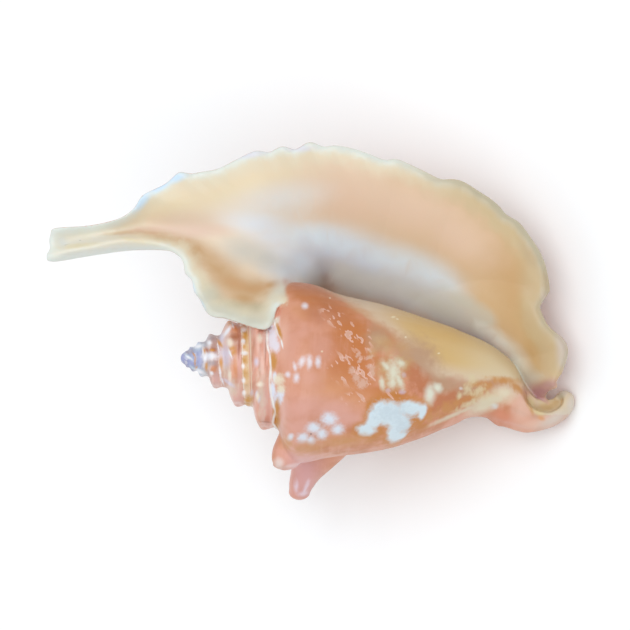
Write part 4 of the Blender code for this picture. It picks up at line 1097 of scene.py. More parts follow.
bodyMarks = {
    "orange field": {"colour": "c97836", "soft": 0.9, "ragged": 0.7, "grain": "wide", "spots": [
        (300, 290, 20, 7, -10), (328, 303, 26, 10, -28), (356, 330, 26, 15, -42), (342, 318, 18, 10, -38),
        (358, 374, 20, 20, 0), (384, 336, 16, 8, -35), (376, 392, 14, 8, 0)
    ]},
    "peach field": {"colour": "dd9a6e", "soft": 1.0, "ragged": 0.5, "grain": "wide", "strength": 0.85,
        "spots": [
        (330, 390, 22, 12, 0), (352, 400, 20, 9, 0), (318, 380, 12, 9, 0), (304, 312, 10, 6, -20)
    ]},
    # Painted shade: darker orange where the shoulder of the whorl turns away from the light
    "shoulder shade": {"colour": "bd7046", "soft": 1.0, "ragged": 0.4, "strength": 0.7, "spots": [
        (304, 290, 18, 6, -12), (330, 308, 20, 8, -30), (314, 314, 12, 7, -30)
    ]},
    # Painted highlight on the shoulder of the whorl
    "shoulder sheen": {"colour": "f2c3ad", "soft": 1.0, "grain": "middle", "strength": 0.8, "spots": [
        (284.5, 338, 5, 15, 0), (283, 405, 3, 14, 0)
    ]},
    "pink field": {"colour": "dc9c84", "soft": 0.9, "ragged": 0.5, "spots": [
        (292, 345, 10, 22, 0), (320, 348, 12, 12, 0), (303, 332, 8, 8, 0), (310, 378, 12, 10, 0)
    ]},
    "rose field": {"colour": "e3a898", "soft": 0.9, "ragged": 0.5, "spots": [
        (300, 408, 26, 14, 10), (330, 409, 24, 10, 0), (292, 450, 16, 14, 60), (345, 418, 20, 8, 0),
        (300, 425, 16, 10, 0)
    ]},
    "mauve shade": {"colour": "bd9474", "soft": 0.8, "ragged": 0.6, "grain": "middle", "spots": [
        (418, 356, 22, 14, -35), (440, 385, 24, 10, -20), (462, 392, 14, 8, 20), (378, 338, 12, 10, -35)
    ]},
    "warm veil": {"colour": "c99a68", "soft": 1.0, "ragged": 0.8, "grain": "small", "strength": 0.7,
        "spots": [
        (402, 348, 8, 6, 0), (386, 342, 8, 5, 0), (408, 366, 5, 8, 0)
    ]},
    "rust shade": {"colour": "c2754a", "soft": 0.6, "ragged": 0.9, "grain": "middle", "spots": [
        (420, 384, 10, 10, -20), (442, 402, 22, 8, 25), (412, 374, 8, 10, 0), (458, 404, 16, 6, 25)
    ]},
    "salmon underside": {"colour": "dd9174", "soft": 1.0, "strength": 0.85, "spots": [
        (507, 420, 18, 7, -12), (500, 415, 6, 4, -20)
    ]},
    "canal blush": {"colour": "e9bca6", "soft": 0.9, "spots": [
        (522, 406, 10, 18, 0), (536, 424, 20, 6, 8)
    ]},
    "hook wall": {"colour": "dccfc2", "soft": 1.0, "spots": [
        (556, 418, 16, 6, 28), (571, 404, 5, 10, -10), (562, 393, 7, 4, 0)
    ]},
    "canal cream": {"colour": "e5d9bd", "soft": 1.0, "ragged": 0.4, "grain": "middle", "spots": [
        (503, 393, 11, 8, 5), (488, 400, 12, 6, 20), (482, 407, 14, 5, 20)
    ]},
    "canal ridge": {"colour": "e2cf9c", "grain": "middle", "spots": [
        (537, 411, 7, 3, -30), (531, 403, 3.5, 7, 25)
    ]},
    "canal floor": {"colour": "cba873", "grain": "middle", "strength": 0.9, "spots": [
        (546, 407, 9, 3.6, 4), (556, 403, 7, 3.4, 35)
    ]},
    # Painted shade: olive grey in the hollow of the hook
    "hook olive": {"colour": "c2bba2", "grain": "middle", "strength": 0.8, "spots": [
        (561, 396, 4, 3, 50)
    ]},
    "orange dot": {"colour": "e09f68", "grain": "middle", "strength": 0.8, "spots": [
        (541, 418, 3.5, 2, -20)
    ]},
    "columella line": {"colour": "cf9450", "soft": 1.0, "grain": "small", "ragged": 0.5, "strength": 0.75,
        "spots": [
        (505, 379.5, 14, 2, -8), (518, 388, 8, 2, -48), (526, 400, 8, 1.6, -68), (531, 409, 5, 1.4, -75)
    ]},
    "flame ochre": {"colour": "ca8c48", "soft": 0.9, "ragged": 1.6, "grain": "fringe", "strength": 0.8,
        "spots": [
        (500, 381, 12, 3, 0), (486, 386, 8, 4, 35), (472, 396, 14, 4, 30), (448, 407, 16, 4.5, 28),
        (515, 387, 7, 3, -45), (476, 384, 10, 4, 10), (425, 417, 14, 4, 20)
    ]},
    "flame cream": {"colour": "dccba4", "soft": 0.9, "ragged": 1.8, "grain": "fringe", "strength": 0.8,
        "spots": [
        (467, 388, 5, 4, 50), (477, 391, 6, 4, 35), (459, 395, 3, 2, 45), (487, 398, 10, 5, 20),
        (468, 403, 10, 2, 28), (472, 379, 5, 3, 0)
    ]},
    "pale hem": {"colour": "ddd0b4", "soft": 0.8, "ragged": 0.5, "grain": "middle", "strength": 0.8,
        "spots": [
        (452, 415, 24, 1.8, 24), (488, 402, 14, 4, 15)
    ]},
    "white fleck": {"colour": "dcdcd8", "soft": 1.0, "ragged": 0.6, "grain": "small", "strength": 0.75,
        "spots": [
        (494, 406, 3, 2.4, 0), (460, 388, 1.6, 1.4, 0)
    ]},
    "ochre border": {"colour": "c67c30", "soft": 0.8, "ragged": 0.8, "grain": "middle", "strength": 0.9,
        "spots": [
        (396, 395, 13, 5, -5), (386, 397, 8, 4, 0), (402, 400, 9, 4, -15), (374, 437, 8, 6, 0),
        (380, 430, 4, 6, 0), (386, 440, 4, 5, -40), (416, 420, 7, 6, 20), (371, 408, 4, 9, 15),
        (376, 402, 5, 4, 30), (420, 427, 6, 4, 20)
    ]},
    "big flakes": {"colour": "dcb29f", "soft": 0.5, "ragged": 0.9, "grain": "fine", "strength": 0.75,
        "spots": [
        (352, 370, 3.4, 3.6, 0), (356, 377, 4, 4, 0), (362, 383, 5.6, 4.6, 30), (371.6, 372, 2.8, 6.4, 0),
        (370, 366, 4, 2.4, 0), (368.6, 357, 4.6, 1.8, 25), (357.5, 354, 1.8, 3.6, -25),
        (358.6, 361, 2.2, 1.6, 30), (369, 350, 2.6, 1.2, -45)
    ]},
    "violet spot": {"colour": "d2b4c0", "soft": 0.7, "ragged": 0.4, "grain": "fine", "strength": 0.8,
        "spots": [
        (387.4, 390, 2.4, 2.2, 0), (401.4, 391.2, 3.4, 2.2, 0), (403, 374.4, 2.4, 2.2, -60)
    ]},
    "cream veil": {"colour": "c9a874", "soft": 1.0, "ragged": 0.8, "grain": "small", "strength": 0.75,
        "spots": [
        (385, 367, 8, 8, 0), (400, 363, 7, 6, -20), (392, 378, 10, 9, 0)
    ]},
    "cream patch": {"colour": "e1ddc7", "soft": 1.0, "ragged": 0.5, "grain": "small", "strength": 0.95,
        "spots": [
        (393, 371, 5.6, 10, 0), (381.4, 383, 2.2, 6, 8), (398.6, 380, 2.8, 8, 25),
        (391.6, 382, 3.4, 5, -10), (386, 366, 2.6, 6, 40), (400, 363, 4, 3, -30)
    ]},
    "lobe fade": {"colour": "dcbe9c", "soft": 1.0, "grain": "middle", "strength": 0.6, "spots": [
        (283, 302, 4, 4, 0)
    ]},
    "white patch": {"colour": "dbe9f0", "soft": 0.4, "ragged": 0.45, "grain": "middle", "strength": 1.0,
        "halo": "cb8238",
        "spots": [
        (388, 413, 15, 12, 0), (380, 407, 8, 6, 0), (373, 415, 5, 6, 0), (410, 407.5, 13, 7.5, 0),
        (422, 411, 3.6, 7.5, -20), (398, 422, 11, 10, 0), (394, 433, 7, 9, -15), (366, 429, 9, 6, 0),
        (374, 420, 8, 6.6, 40), (400, 436, 6, 3, 25)
    ]},
    "patch mottle": {"colour": "c3d1da", "soft": 1.0, "ragged": 1.8, "grain": "small", "strength": 0.5,
        "spots": [
        (391, 412, 14, 8, 0), (402, 424, 7, 7, 0)
    ]},
    "cream finger": {"colour": "e4e4d2", "soft": 0.8, "ragged": 0.5, "grain": "middle", "strength": 0.95,
        "spots": [
        (429, 394, 4.6, 8.4, 0), (436.6, 387, 4, 4.6, 40)
    ]},
    "pale blots": {"colour": "d3b184", "soft": 1.0, "ragged": 0.8, "grain": "middle", "strength": 0.45,
        "spots": [
        (378, 341, 6, 6, 0), (388, 350, 6, 5, 0), (372, 352, 4, 5, 0)
    ]},
    "white spot": {"colour": "ecebf4", "soft": 1.0, "ragged": 0.5, "grain": "small", "strength": 0.8,
        "spots": [
        (305, 306, 2.8, 2.6, 0), (295, 366, 1.6, 3.6, 10), (302, 361, 2.6, 5, -30),
        (309.5, 361.5, 2.4, 5.4, 0), (318, 361.5, 2.4, 4.6, 0), (288, 374, 2.2, 2.4, 0),
        (296.6, 377, 2.6, 4, 0)
    ]},
    "white cluster": {"colour": "e4ebf6", "soft": 0.8, "ragged": 0.5, "grain": "small", "strength": 0.95,
        "spots": [
        (329, 418, 7, 5.6, 0), (337.5, 428.5, 5.4, 4.6, 0), (314, 427, 6.4, 5, 0), (321.5, 433, 5, 5, 0),
        (303, 437, 5.4, 4.4, 20), (311, 440, 4, 4, 0), (290.5, 436.5, 2.4, 3.8, -30)
    ]},
    "dark dot": {"colour": "7a5a50", "soft": 0.6, "grain": "small", "spots": [
        (311, 433, 0.9, 0.8, 0)
    ]},
    "knob white": {"colour": "f0e0da", "grain": "middle", "strength": 0.8, "spots": [
        (279, 463, 4.5, 5, 10), (294, 465, 9, 2, 10)
    ]},
    "spine pink": {"colour": "e5aeae", "soft": 0.9, "strength": 0.85, "spots": [
        (305, 478, 16, 24, 0)
    ]},
    "spine bloom": {"colour": "ecd4de", "soft": 0.8, "grain": "small", "strength": 0.85, "spots": [
        (296, 487, 2.2, 6, 0), (307, 486, 1.9, 5.4, -20), (303, 495, 5, 2.6, 10)
    ]},
    "ochre shade low": {"colour": "d0914f", "soft": 0.9, "ragged": 0.7, "grain": "middle", "strength": 0.75,
        "spots": [
        (309, 447, 12, 6, 0), (287, 443, 6, 6, 0), (345, 440, 24, 5, 5), (300, 448, 6, 5, 0)
    ]},
    "seam wedge": {"colour": "ebe5ee", "soft": 0.5, "ragged": 0.4, "grain": "small", "spots": [
        (273, 338, 4.4, 12, 0), (276, 346, 4, 6, 0), (271, 328, 2.4, 6, 0)
    ]},
    "seam top white": {"colour": "efe9dc", "soft": 0.6, "grain": "small", "spots": [
        (276.5, 321, 2.4, 4.4, -30)
    ]},
    "wedge fold": {"colour": "f3efec", "soft": 0.5, "grain": "fine", "ragged": 0.1, "spots": [
        (275, 323, 0.9, 5, 12), (278.4, 333, 0.9, 6, 22), (282.2, 343, 0.9, 5, 12)
    ]},
    "seam lilac": {"colour": "e6ecfa", "soft": 0.5, "ragged": 0.5, "grain": "small", "strength": 0.95,
        "spots": [
        (273, 390, 2.8, 8, 0), (278.5, 398, 4.4, 9, -22), (275, 376, 2, 5, 0)
    ]},
    "seam cream": {"colour": "f0e3c8", "soft": 0.7, "ragged": 0.5, "grain": "small", "spots": [
        (279, 379, 5, 5, 0), (281, 388, 4, 4, 0)
    ]},
    "seam ochre": {"colour": "cc8a2c", "soft": 0.6, "ragged": 0.4, "grain": "small", "strength": 0.95,
        "spots": [
        (279.6, 331, 1.7, 8, 18), (273.6, 361, 3.6, 9.5, 4), (276.5, 409, 3, 11, -8), (277, 422, 3, 9, -6)
    ]},
    # Painted shade: grey at the seams and hollows of the early whorls
    "spire grey": {"colour": "a89ba0", "soft": 1.0, "ragged": 0.4, "grain": "small", "strength": 0.75,
        "spots": [
        (211, 337, 5, 4, 0), (188, 352.4, 6, 1.8, 30), (212, 363, 4.4, 3, 0), (205, 343, 3, 3, 0),
        (220, 337, 2.4, 4, 0), (190, 368, 5, 1.4, -30), (217, 378, 1.4, 4, 0)
    ]},
    "apex blue": {"colour": "a1a5d0", "soft": 1.0, "ragged": 0.3, "grain": "small", "strength": 0.85,
        "spots": [
        (183, 357, 3.4, 4.4, 0), (190.7, 364, 3.4, 4.6, -20), (199.2, 359.5, 3.4, 8, 0)
    ]},
    "apex pale": {"colour": "c9d8e2", "soft": 1.0, "ragged": 0.3, "grain": "fine", "strength": 0.85,
        "spots": [
        (198.6, 346.6, 5, 3, 15), (201, 372, 6, 2.4, -25), (188.8, 357, 1.4, 5, 50),
        (192.6, 367.5, 3, 1, -40)
    ]},
    "spire orange": {"colour": "df925f", "soft": 1.0, "ragged": 0.5, "grain": "small", "strength": 0.85,
        "spots": [
        (236, 368, 3.6, 10, 0), (236.5, 352, 3, 6, 0), (236, 328, 4, 5, 0), (213.6, 369, 3, 3, 0)
    ]},
    "spire pink": {"colour": "e8b4aa", "soft": 1.0, "strength": 0.85, "spots": [
        (236, 398, 6, 10, 0), (216.6, 380, 4, 7, 0), (239.4, 360, 1.6, 22, 0), (264, 400, 5, 14, 0)
    ]},
    "spire brown": {"colour": "b46a40", "soft": 1.0, "ragged": 0.3, "grain": "small", "strength": 0.9,
        "spots": [
        (235.6, 336.8, 6, 3, 3), (213, 349.8, 3.4, 2, 0), (207, 350, 1.5, 3, 30), (240, 342, 0.8, 8, 0)
    ]},
    "spire beige": {"colour": "e4ccb8", "soft": 1.0, "ragged": 1.4, "grain": "fringe", "strength": 0.85,
        "spots": [
        (225.4, 368, 4, 8, 0), (223, 350, 1.6, 7, 0), (232, 390, 5, 7, -20), (262, 392, 4, 20, 0)
    ]},
    "spire lilac": {"colour": "ddd4e4", "soft": 1.0, "ragged": 0.3, "grain": "fine", "strength": 0.9,
        "spots": [
        (226, 354, 5.6, 8, 0), (226, 361, 3.4, 5, 0), (222, 338, 2.2, 5, 0), (229, 382.5, 6, 1.5, -35),
        (257, 361.6, 2.2, 3.6, 0), (251.8, 394, 1.6, 3.6, -10), (257, 393.5, 1.2, 3, -12),
        (259.6, 399, 1, 3, -12)
    ]},
    "spire ochre": {"colour": "d6933f", "soft": 0.8, "ragged": 0.3, "grain": "fine", "strength": 0.9,
        "spots": [
        (194.4, 355, 0.8, 3, 30), (195.2, 361.5, 0.8, 5, 0), (196.4, 368, 0.8, 2.4, -30),
        (206.6, 366.4, 1.4, 4, 0), (204.6, 351, 1, 3.6, 20), (220.2, 343.5, 1.4, 4, 35),
        (221.2, 362.6, 2, 5.6, 0), (232.2, 348, 3.2, 2.8, 20), (233.6, 352.4, 2, 3.6, -20),
        (230, 322.8, 3, 2.6, 0), (212.5, 350, 2.6, 1.3, 0)
    ]},
    # Partly the white spots of the spire, partly painted glints of its gloss
    "spire white": {"colour": "f4f2f7", "soft": 0.8, "ragged": 0.4, "grain": "fine", "strength": 0.95,
        "spots": [
        (211, 356, 7, 3.4, 0), (205.4, 358.4, 1.6, 3, 0), (200, 371.6, 5.5, 1.8, -25),
        (199, 346, 4, 1.8, 15), (209.8, 342.8, 2.2, 2.2, 0), (227.6, 331, 1.8, 6, -36),
        (233, 325.4, 0.9, 2.6, 20), (230.6, 353.4, 0.8, 5, 22), (220.4, 372, 1, 6.4, 6),
        (222.6, 381, 0.9, 4, 20), (218.6, 348, 0.7, 4, 15), (212, 373, 1.6, 1.8, 40),
        (203, 350, 0.5, 6, 0), (188.8, 357.2, 0.9, 3.4, 60)
    ]},
    "spire cream": {"colour": "f6e6d2", "soft": 0.8, "ragged": 0.3, "grain": "fine", "strength": 0.95,
        "spots": [
        (229.8, 375, 1.9, 4.6, 0), (230.4, 342.6, 3, 3.6, 0), (260, 338, 2.6, 4.4, 0),
        (260.6, 384, 3.2, 2.2, 0), (258, 396, 1.6, 4, 0)
    ]},
    "bead ochre": {"colour": "d09436", "soft": 0.7, "ragged": 0.5, "grain": "fine", "strength": 0.9,
        "spots": [
        (245.8, 336, 2.8, 6, 0), (245, 346.8, 1.8, 2, 0), (245.6, 359.5, 2.8, 4.8, 0),
        (246, 373, 2.4, 5, 0), (249, 400, 4, 5.6, -25)
    ]},
    "bead tan": {"colour": "dfb680", "soft": 0.9, "ragged": 0.5, "grain": "fine", "strength": 0.8,
        "spots": [
        (247.4, 350, 1.8, 12, 0), (247, 376, 2.6, 12, 0)
    ]},
    "bead white": {"colour": "f8f4f2", "soft": 0.7, "grain": "fine", "strength": 0.95, "spots": [
        (244, 329.5, 2.4, 2, 0), (243.6, 341.2, 1.8, 2.3, 0), (244.8, 353, 3.2, 1.9, 0),
        (243.4, 366, 1.5, 2.3, 0), (243.8, 380, 1.7, 2.6, 0), (244.2, 392.5, 1.7, 2.6, 0)
    ]},
    "spire streak": {"colour": "eebfae", "soft": 1.0, "strength": 0.7, "spots": [
        (258.5, 346, 2, 14, 6), (262, 362, 1.4, 14, 4), (265, 340, 1.6, 8, 0)
    ]},
    "spire groove": {"colour": "b06a50", "soft": 0.6, "grain": "small", "strength": 0.6, "spots": [
        (266, 421.6, 5, 0.9, -6), (239, 348, 1, 10, 0), (266, 350, 0.9, 16, -2)
    ]},
    "suture line": {"colour": "f8f5f0", "soft": 0.7, "ragged": 0.1, "grain": "fine", "spots": [
        (267.3, 336, 0.9, 7.5, 0), (268.5, 348.5, 0.9, 7, 15), (270.5, 360.5, 0.9, 7.5, 4),
        (270.5, 374.5, 1.1, 8.5, -4), (270.7, 388, 1.1, 7, 7), (273.3, 402.5, 1, 9.5, 13),
        (274, 417, 1, 7, -11), (275.5, 427, 1, 5.5, 32)
    ]},
    "callus flecks": {"colour": "f0e4c6", "soft": 0.7, "ragged": 0.4, "grain": "fine", "strength": 0.8,
        "spots": [
        (393, 317, 2, 1, 10), (397, 319, 1.2, 0.8, -20), (405, 337, 0.9, 0.9, 0), (438, 353, 1.2, 0.8, 0),
        (330, 298, 0.8, 0.8, 0), (322, 351, 1.1, 0.9, 0)
    ]},
}
plainMark = {"soft": 0.8, "ragged": 0.2, "grain": "wide", "strength": 0.9}   # where a mark says nothing else
plainHalo = {"from": -0.9, "to": -0.2, "strength": 0.8}   # the coloured border round a pale mark
markFloor = -3.0                     # a mark's field goes no lower
markBlend = 6.0                      # how tightly its spots are joined


def markField(spots, u, v):          # 1 in the middle of a spot, 0 at its edge, less beyond it
    field = np.full(len(u), markBlend * markFloor)
    for column, row, along, across, turnDeg in spots:
        x = (column - photo["apexColumn"]) * photo["mmPerPixel"]
        y = (photo["apexRow"] - row) * photo["mmPerPixel"]
        turn = math.radians(turnDeg)
        a = ((u - x) * math.cos(turn) + (v - y) * math.sin(turn)) / (along * photo["mmPerPixel"])
        b = ((v - y) * math.cos(turn) - (u - x) * math.sin(turn)) / (across * photo["mmPerPixel"])
        field = np.logaddexp(field, markBlend * np.maximum(1.0 - np.hypot(a, b), markFloor))
    return field / markBlend


flaking = [                          # where the flakes lie, as spots
    (356, 336, 18, 12, -35), (350, 368, 22, 16, -20), (366, 373, 12, 12, 0), (335, 318, 18, 8, -40),
    (392, 396, 10, 5, 0), (354, 398, 12, 6, 0),
]
callusEdge = [                       # border of the glaze that the lip spreads on the whorl
    (36.0, 24.5), (38.4, 22.5), (44.1, 19.5), (48.6, 16.5), (53.7, 13.2), (58.8, 9.3), (64.0, 4.4),
    (70.0, -1.2), (77.0, -6.0), (85.0, -7.6), (97.0, -7.4), (104.0, -10.5), (107.0, -17.0),
]

# Where one skin of the shell gives way to the next, as the start and end of each change. Stations, heights
# and distances are in millimetres
skins = {
    "facing": (-0.3, 0.05),          # upward part of a normal, from the hidden side to the shown one
    "innerFacing": (-0.35, 0.1),     # the same for the lip's inner face
    "underInner": (-1.6, -0.7),      # heights about that face between which its glaze begins
    "overInner": (0.5, 1.4),         # and ends
    "innerLap": 0.5,                 # how far the glaze laps round the rim
    "whorlSpan": (27.0, 103.0),      # stations where the whorl may cover the lip
    "whorlDepth": 3.0,               # points further below the whorl's top aren't part of its cover
    "underWhorl": (-1.3, 0.9),       # height of the lip's face over the whorl's top, from salmon to glaze
    "rimReach": 30.0,                # distances from the rim are kept up to here
    "callusReach": 8.0,              # and from the border of the callus
    "farLip": (54.0, 92.0),          # stations
    "whorl": (33.0, 36.0),
    "spireEnd": (28.5, 30.5),
    "spireReach": (2.0, 4.0),        # distances off the spire's own surface
    "lateWhorls": (7.0, 10.0),       # stations
    "yellowing": (52.0, 72.0),
    "lateCallus": (46.0, 66.0),
    "callus": (0.0, 3.0),            # distances inside its border
    "flaking": (-0.3, 0.4),          # values of the spots' field
    "seams": 32.0,                   # station up to which the seams count
    "farFromSeam": 9.0,              # distance that is given beyond it
    "beadWhorl": 5,
    "beadStart": (-0.1, 0.15),       # distances after the seam
    "beadEnd": (1.9, 2.3),
    "threadPlace": 2.65,
    "threadWidth": (0.1, 0.3),
}


def paintFields(shell, world):       # what the material reads, at every point
    points = (world / mm - np.array(whole["tip"]) / mm) @ np.array(turnMatrix)
    normals = np.zeros(len(points) * 3)
    shell.data.vertex_normals.foreach_get("vector", normals)
    normals = normals.reshape(-1, 3) @ np.array(turnMatrix)
    facing = ease(*skins["facing"], normals[:, 2])
    x, y, z = points.T
    turn = math.radians(whole["axisFall"])
    u = x * math.cos(turn) + y * math.sin(turn)
    v = y * math.cos(turn) - x * math.sin(turn)
    centre = smoothCurve(centreLine, np.clip(x, 0.0, lip["end"]))

    # The lip's inner face, where it isn't under the whorl
    height = lipHeight(points[:, :2])
    glazed = ease(*skins["underInner"], z - height) * (1.0 - ease(*skins["overInner"], z - height))
    inner = np.where(inside(points[:, :2], grow(lipOutline, skins["innerLap"])), glazed, 0.0)
    inner *= ease(*skins["innerFacing"], normals[:, 2])
    radii = smoothCurve(bodyRadii, x)
    besides = (y - centre[:, 0]) / np.where(y > centre[:, 0], radii[:, 0], radii[:, 2])
    whorlTop = centre[:, 1] + radii[:, 1] * np.sqrt(np.clip(1.0 - besides**2, 0.0, 1.0))
    first, last = skins["whorlSpan"]
    overWhorl = (np.abs(besides) < 1.0) & (x > first) & (x < last) & (z > whorlTop - skins["whorlDepth"])
    inner *= np.where(overWhorl, ease(*skins["underWhorl"], height - whorlTop), 1.0)
    upperRim = toShell(tailEnd + upperEdge + frontEdge[:lip["paleRimPoints"]])
    lowerRim = toShell(lobeEdge[1:] + tailUnderside + tailEnd[:1])
    rim = np.minimum(*(distanceToLine(points[:, :2], edge) for edge in (upperRim, lowerRim)))

    # The callus that the lip's glaze spreads on the whorl, in millimetres from its border
    callus = distanceToLine(np.column_stack([u, v]), callusEdge)
    border = np.interp(u, *np.array(callusEdge).T)
    callus *= np.where(v > border, 1.0, -1.0)

    # Place between the seams of the spire
    angle = np.arctan2(z - centre[:, 1], y - centre[:, 0] - spire["offset"]) % (2.0 * math.pi)
    _, whorl, near, far = seamsAround(x, angle)
    reach = np.hypot(y - spireMiddle(x), z) - smoothCurve(seamRadii, x)[:, 0]
    onSpire = (1.0 - ease(*skins["spireEnd"], x)) * (1.0 - inner) * (1.0 - ease(*skins["spireReach"], reach))
    onBeads = onSpire * (whorl == skins["beadWhorl"])
    beadBand = onBeads * ease(*skins["beadStart"], x - near) * (1.0 - ease(*skins["beadEnd"], x - near))
    toThread = np.abs(x - near - skins["threadPlace"])

    farLip = ease(*skins["farLip"], x)
    lateWhorls = ease(*skins["lateWhorls"], x)
    onWhorl = ease(*skins["whorl"], x) * facing
    fields = {
        "inner": inner,
        "rim": np.minimum(rim, skins["rimReach"]),
        "farLip": farLip,
        "nearLip": 1.0 - farLip,
        "callus": np.clip(callus, -skins["callusReach"], skins["callusReach"]),
        "facing": facing,
        "hidden": 1.0 - facing,
        "station": x,
        "onWhorl": onWhorl,
        "onSpire": onSpire,
        "lateWhorls": lateWhorls,
        "earlyWhorls": 1.0 - lateWhorls,
        "hiddenBand": beadBand * (1.0 - facing),
        "yellowing": ease(*skins["yellowing"], x) * onWhorl,
        "onCallus": ease(*skins["callus"], callus) * facing,
        "lateCallus": ease(*skins["lateCallus"], x) * facing,
        "flaking": ease(*skins["flaking"], markField(flaking, u, v)) * facing,
        "afterSeam": np.where(x < skins["seams"], x - near, skins["farFromSeam"]),
        "beforeSeam": np.where(x < skins["seams"], far - x, skins["farFromSeam"]),
        "beadBand": beadBand,
        "seamThread": onBeads * (1.0 - ease(*skins["threadWidth"], toThread)),
    }
    for name, mark in {**lipMarks, **rimMarks, **bodyMarks}.items():
        fields[name] = markField(mark["spots"], u, v)
    for name, values in fields.items():
        shell.data.attributes.new(name, "FLOAT", "POINT").data.foreach_set("value", values)
    around = np.column_stack([np.cos(angle) * whole["spinRadius"], np.sin(angle) * whole["spinRadius"], x])
    shell.data.attributes.new("around", "FLOAT_VECTOR", "POINT").data.foreach_set("vector", around.ravel())
    return list(fields)


# Conch porcelain, dense lime laid down in thin layers with a smooth skin. To the eye it has soft, wide
# highlights with a faint sharper gloss over them, and glows a little at thin edges
glaze = {
    "outside": "dd997a",             # under all coats of the whorl
    "inside": "ecd6bb",              # under those of the lip's inner face
    "spire": "999bbf",               # under those of the spire
    "depth": 0.92,                   # the colours are as seen in strong light, the glaze is this much deeper
    "roughness": (0.32, 0.46),       # where the middle pattern is at the first and the second value below
    "roughnessOver": (0.3, 0.7),
    "growthHeight": 0.06,            # of the fine lines of growth, in millimetres
    "growthStrength": 0.35,
    "poreHeight": 0.03,              # of the fine grain between them
    "poreStrength": 0.2,
    "ior": 1.53,
    "glow": 0.08,                    # share of the light that goes in
    "glowDepth": 2.0,                # and how deep, in millimetres
    "glowColours": (1.0, 0.6, 0.4),
    "gloss": 0.12,
    "glossRoughness": 0.2,
}


def linear(code):                    # sRGB hex to linear colour, at the depth of the glaze
    parts = [int(code[k:k + 2], 16) / 255.0 for k in (0, 2, 4)]
    parts = [p / 12.92 if p <= 0.04045 else ((p + 0.055) / 1.055) ** 2.4 for p in parts]
    return tuple(glaze["depth"] * p for p in parts) + (1.0,)


# Patterns: their grain in millimetres along X, Y and Z of the shell's frame, or of "around", where X and
# Y run round the axis and Z along it
patterns = {
    "fine": {"of": "own", "grain": (0.5, 0.5, 0.5), "detail": 3.0},
    "small": {"of": "own", "grain": (1.0, 1.0, 1.0), "detail": 3.0},
    "middle": {"of": "own", "grain": (2.0, 2.0, 2.0), "detail": 3.0},
    "wide": {"of": "own", "grain": (4.0, 4.0, 4.0), "detail": 3.0},
    "clouds": {"of": "own", "grain": (11.0, 11.0, 11.0), "detail": 4.0},
    "fringe": {"of": "around", "grain": (2.6, 2.6, 1.3), "detail": 4.0},
    "smears": {"of": "around", "grain": (9.0, 9.0, 1.8), "detail": 4.0},
    "growth": {"of": "around", "grain": (1.1, 1.1, 6.0), "detail": 2.0},
    "blotches": {"of": "around", "grain": (6.5, 6.5, 8.0), "detail": 5.0},
    "flakes": {"of": "own", "grain": (3.0, 1.5, 2.2), "turn": -50.0, "detail": 1.6},
}
# Coats from the first to the last: colour, what it follows and between which values of that it fades in,
# how strongly and where, and the pattern that makes its edge ragged
outsideCoats = [
    {"colour": "cb7f50", "follows": "clouds", "from": 0.42, "to": 0.6},
    {"colour": "e2a994", "follows": "smears", "from": 0.48, "to": 0.72, "strength": 0.4},
    {"colour": "c98a45", "follows": "blotches", "from": 0.51, "to": 0.57, "where": "hidden"},
    {"colour": "e9e2d6", "follows": "blotches", "from": 0.56, "to": 0.62, "where": "hidden"},
    {"colour": "bf957b", "follows": "callus", "from": -4.0, "to": 0.5, "strength": 0.7,
     "where": "lateCallus"},
    {"colour": "dcc3a6", "follows": "callus", "from": -0.8, "to": 1.8, "grain": "wide", "ragged": 3.0,
     "where": "onWhorl"},
    {"colour": "d8b26c", "follows": "callus", "from": 1.5, "to": 6.5, "strength": 0.85,
     "where": "yellowing"},
    {"colour": "dcc8a2", "follows": "station", "from": 78.0, "to": 96.0, "strength": 0.8,
     "where": "onCallus"},
]
spireCoats = [
    {"colour": "aeb7d2", "follows": "station", "from": 2.0, "to": 5.5},
    {"colour": "c6c0c6", "follows": "station", "from": 5.0, "to": 8.0},
    {"colour": "c9a398", "follows": "station", "from": 7.2, "to": 9.0},
    {"colour": "e0ad98", "follows": "station", "from": 10.5, "to": 13.0},
    {"colour": "e6a58e", "follows": "station", "from": 17.0, "to": 24.0},
    {"colour": "efcfc2", "follows": "smears", "from": 0.5, "to": 0.66, "strength": 0.8},
    {"colour": "c07e62", "follows": "smears", "from": 0.46, "to": 0.36, "strength": 0.5,
     "where": "lateWhorls"},
    {"colour": "ecd2b4", "follows": "beadBand", "from": 0.1, "to": 0.6, "strength": 0.8},
    {"colour": "d2902f", "follows": "fringe", "from": 0.47, "to": 0.55, "where": "hiddenBand"},
    {"colour": "f0dcc4", "follows": "seamThread", "from": 0.2, "to": 0.8, "strength": 0.8},
    {"colour": "f4efe9", "follows": "afterSeam", "from": 0.42, "to": 0.12, "strength": 0.9,
     "where": "lateWhorls"},
    {"colour": "9c6450", "follows": "beforeSeam", "from": 0.3, "to": 0.05, "strength": 0.55,
     "where": "lateWhorls"},
    {"colour": "8087a4", "follows": "beforeSeam", "from": 0.35, "to": 0.05, "strength": 0.6,
     "where": "earlyWhorls"},
    {"colour": "dfe6ee", "follows": "smears", "from": 0.5, "to": 0.64, "strength": 0.6,
     "where": "earlyWhorls"},
]
flakeCoats = [                       # loose flakes of pearly skin, as pale loops
    {"colour": "edc3b4", "follows": "flakes", "from": 0.575, "to": 0.605, "strength": 0.8,
     "where": "flaking"},
    {"colour": "d59c7c", "follows": "flakes", "from": 0.62, "to": 0.65, "strength": 0.6,
     "where": "flaking"},
]
insideCoats = [
    {"colour": "dcb98c", "follows": "station", "from": 20.0, "to": 100.0},
    {"colour": "eef0ee", "follows": "station", "from": -12.0, "to": -30.0, "strength": 0.75},
]
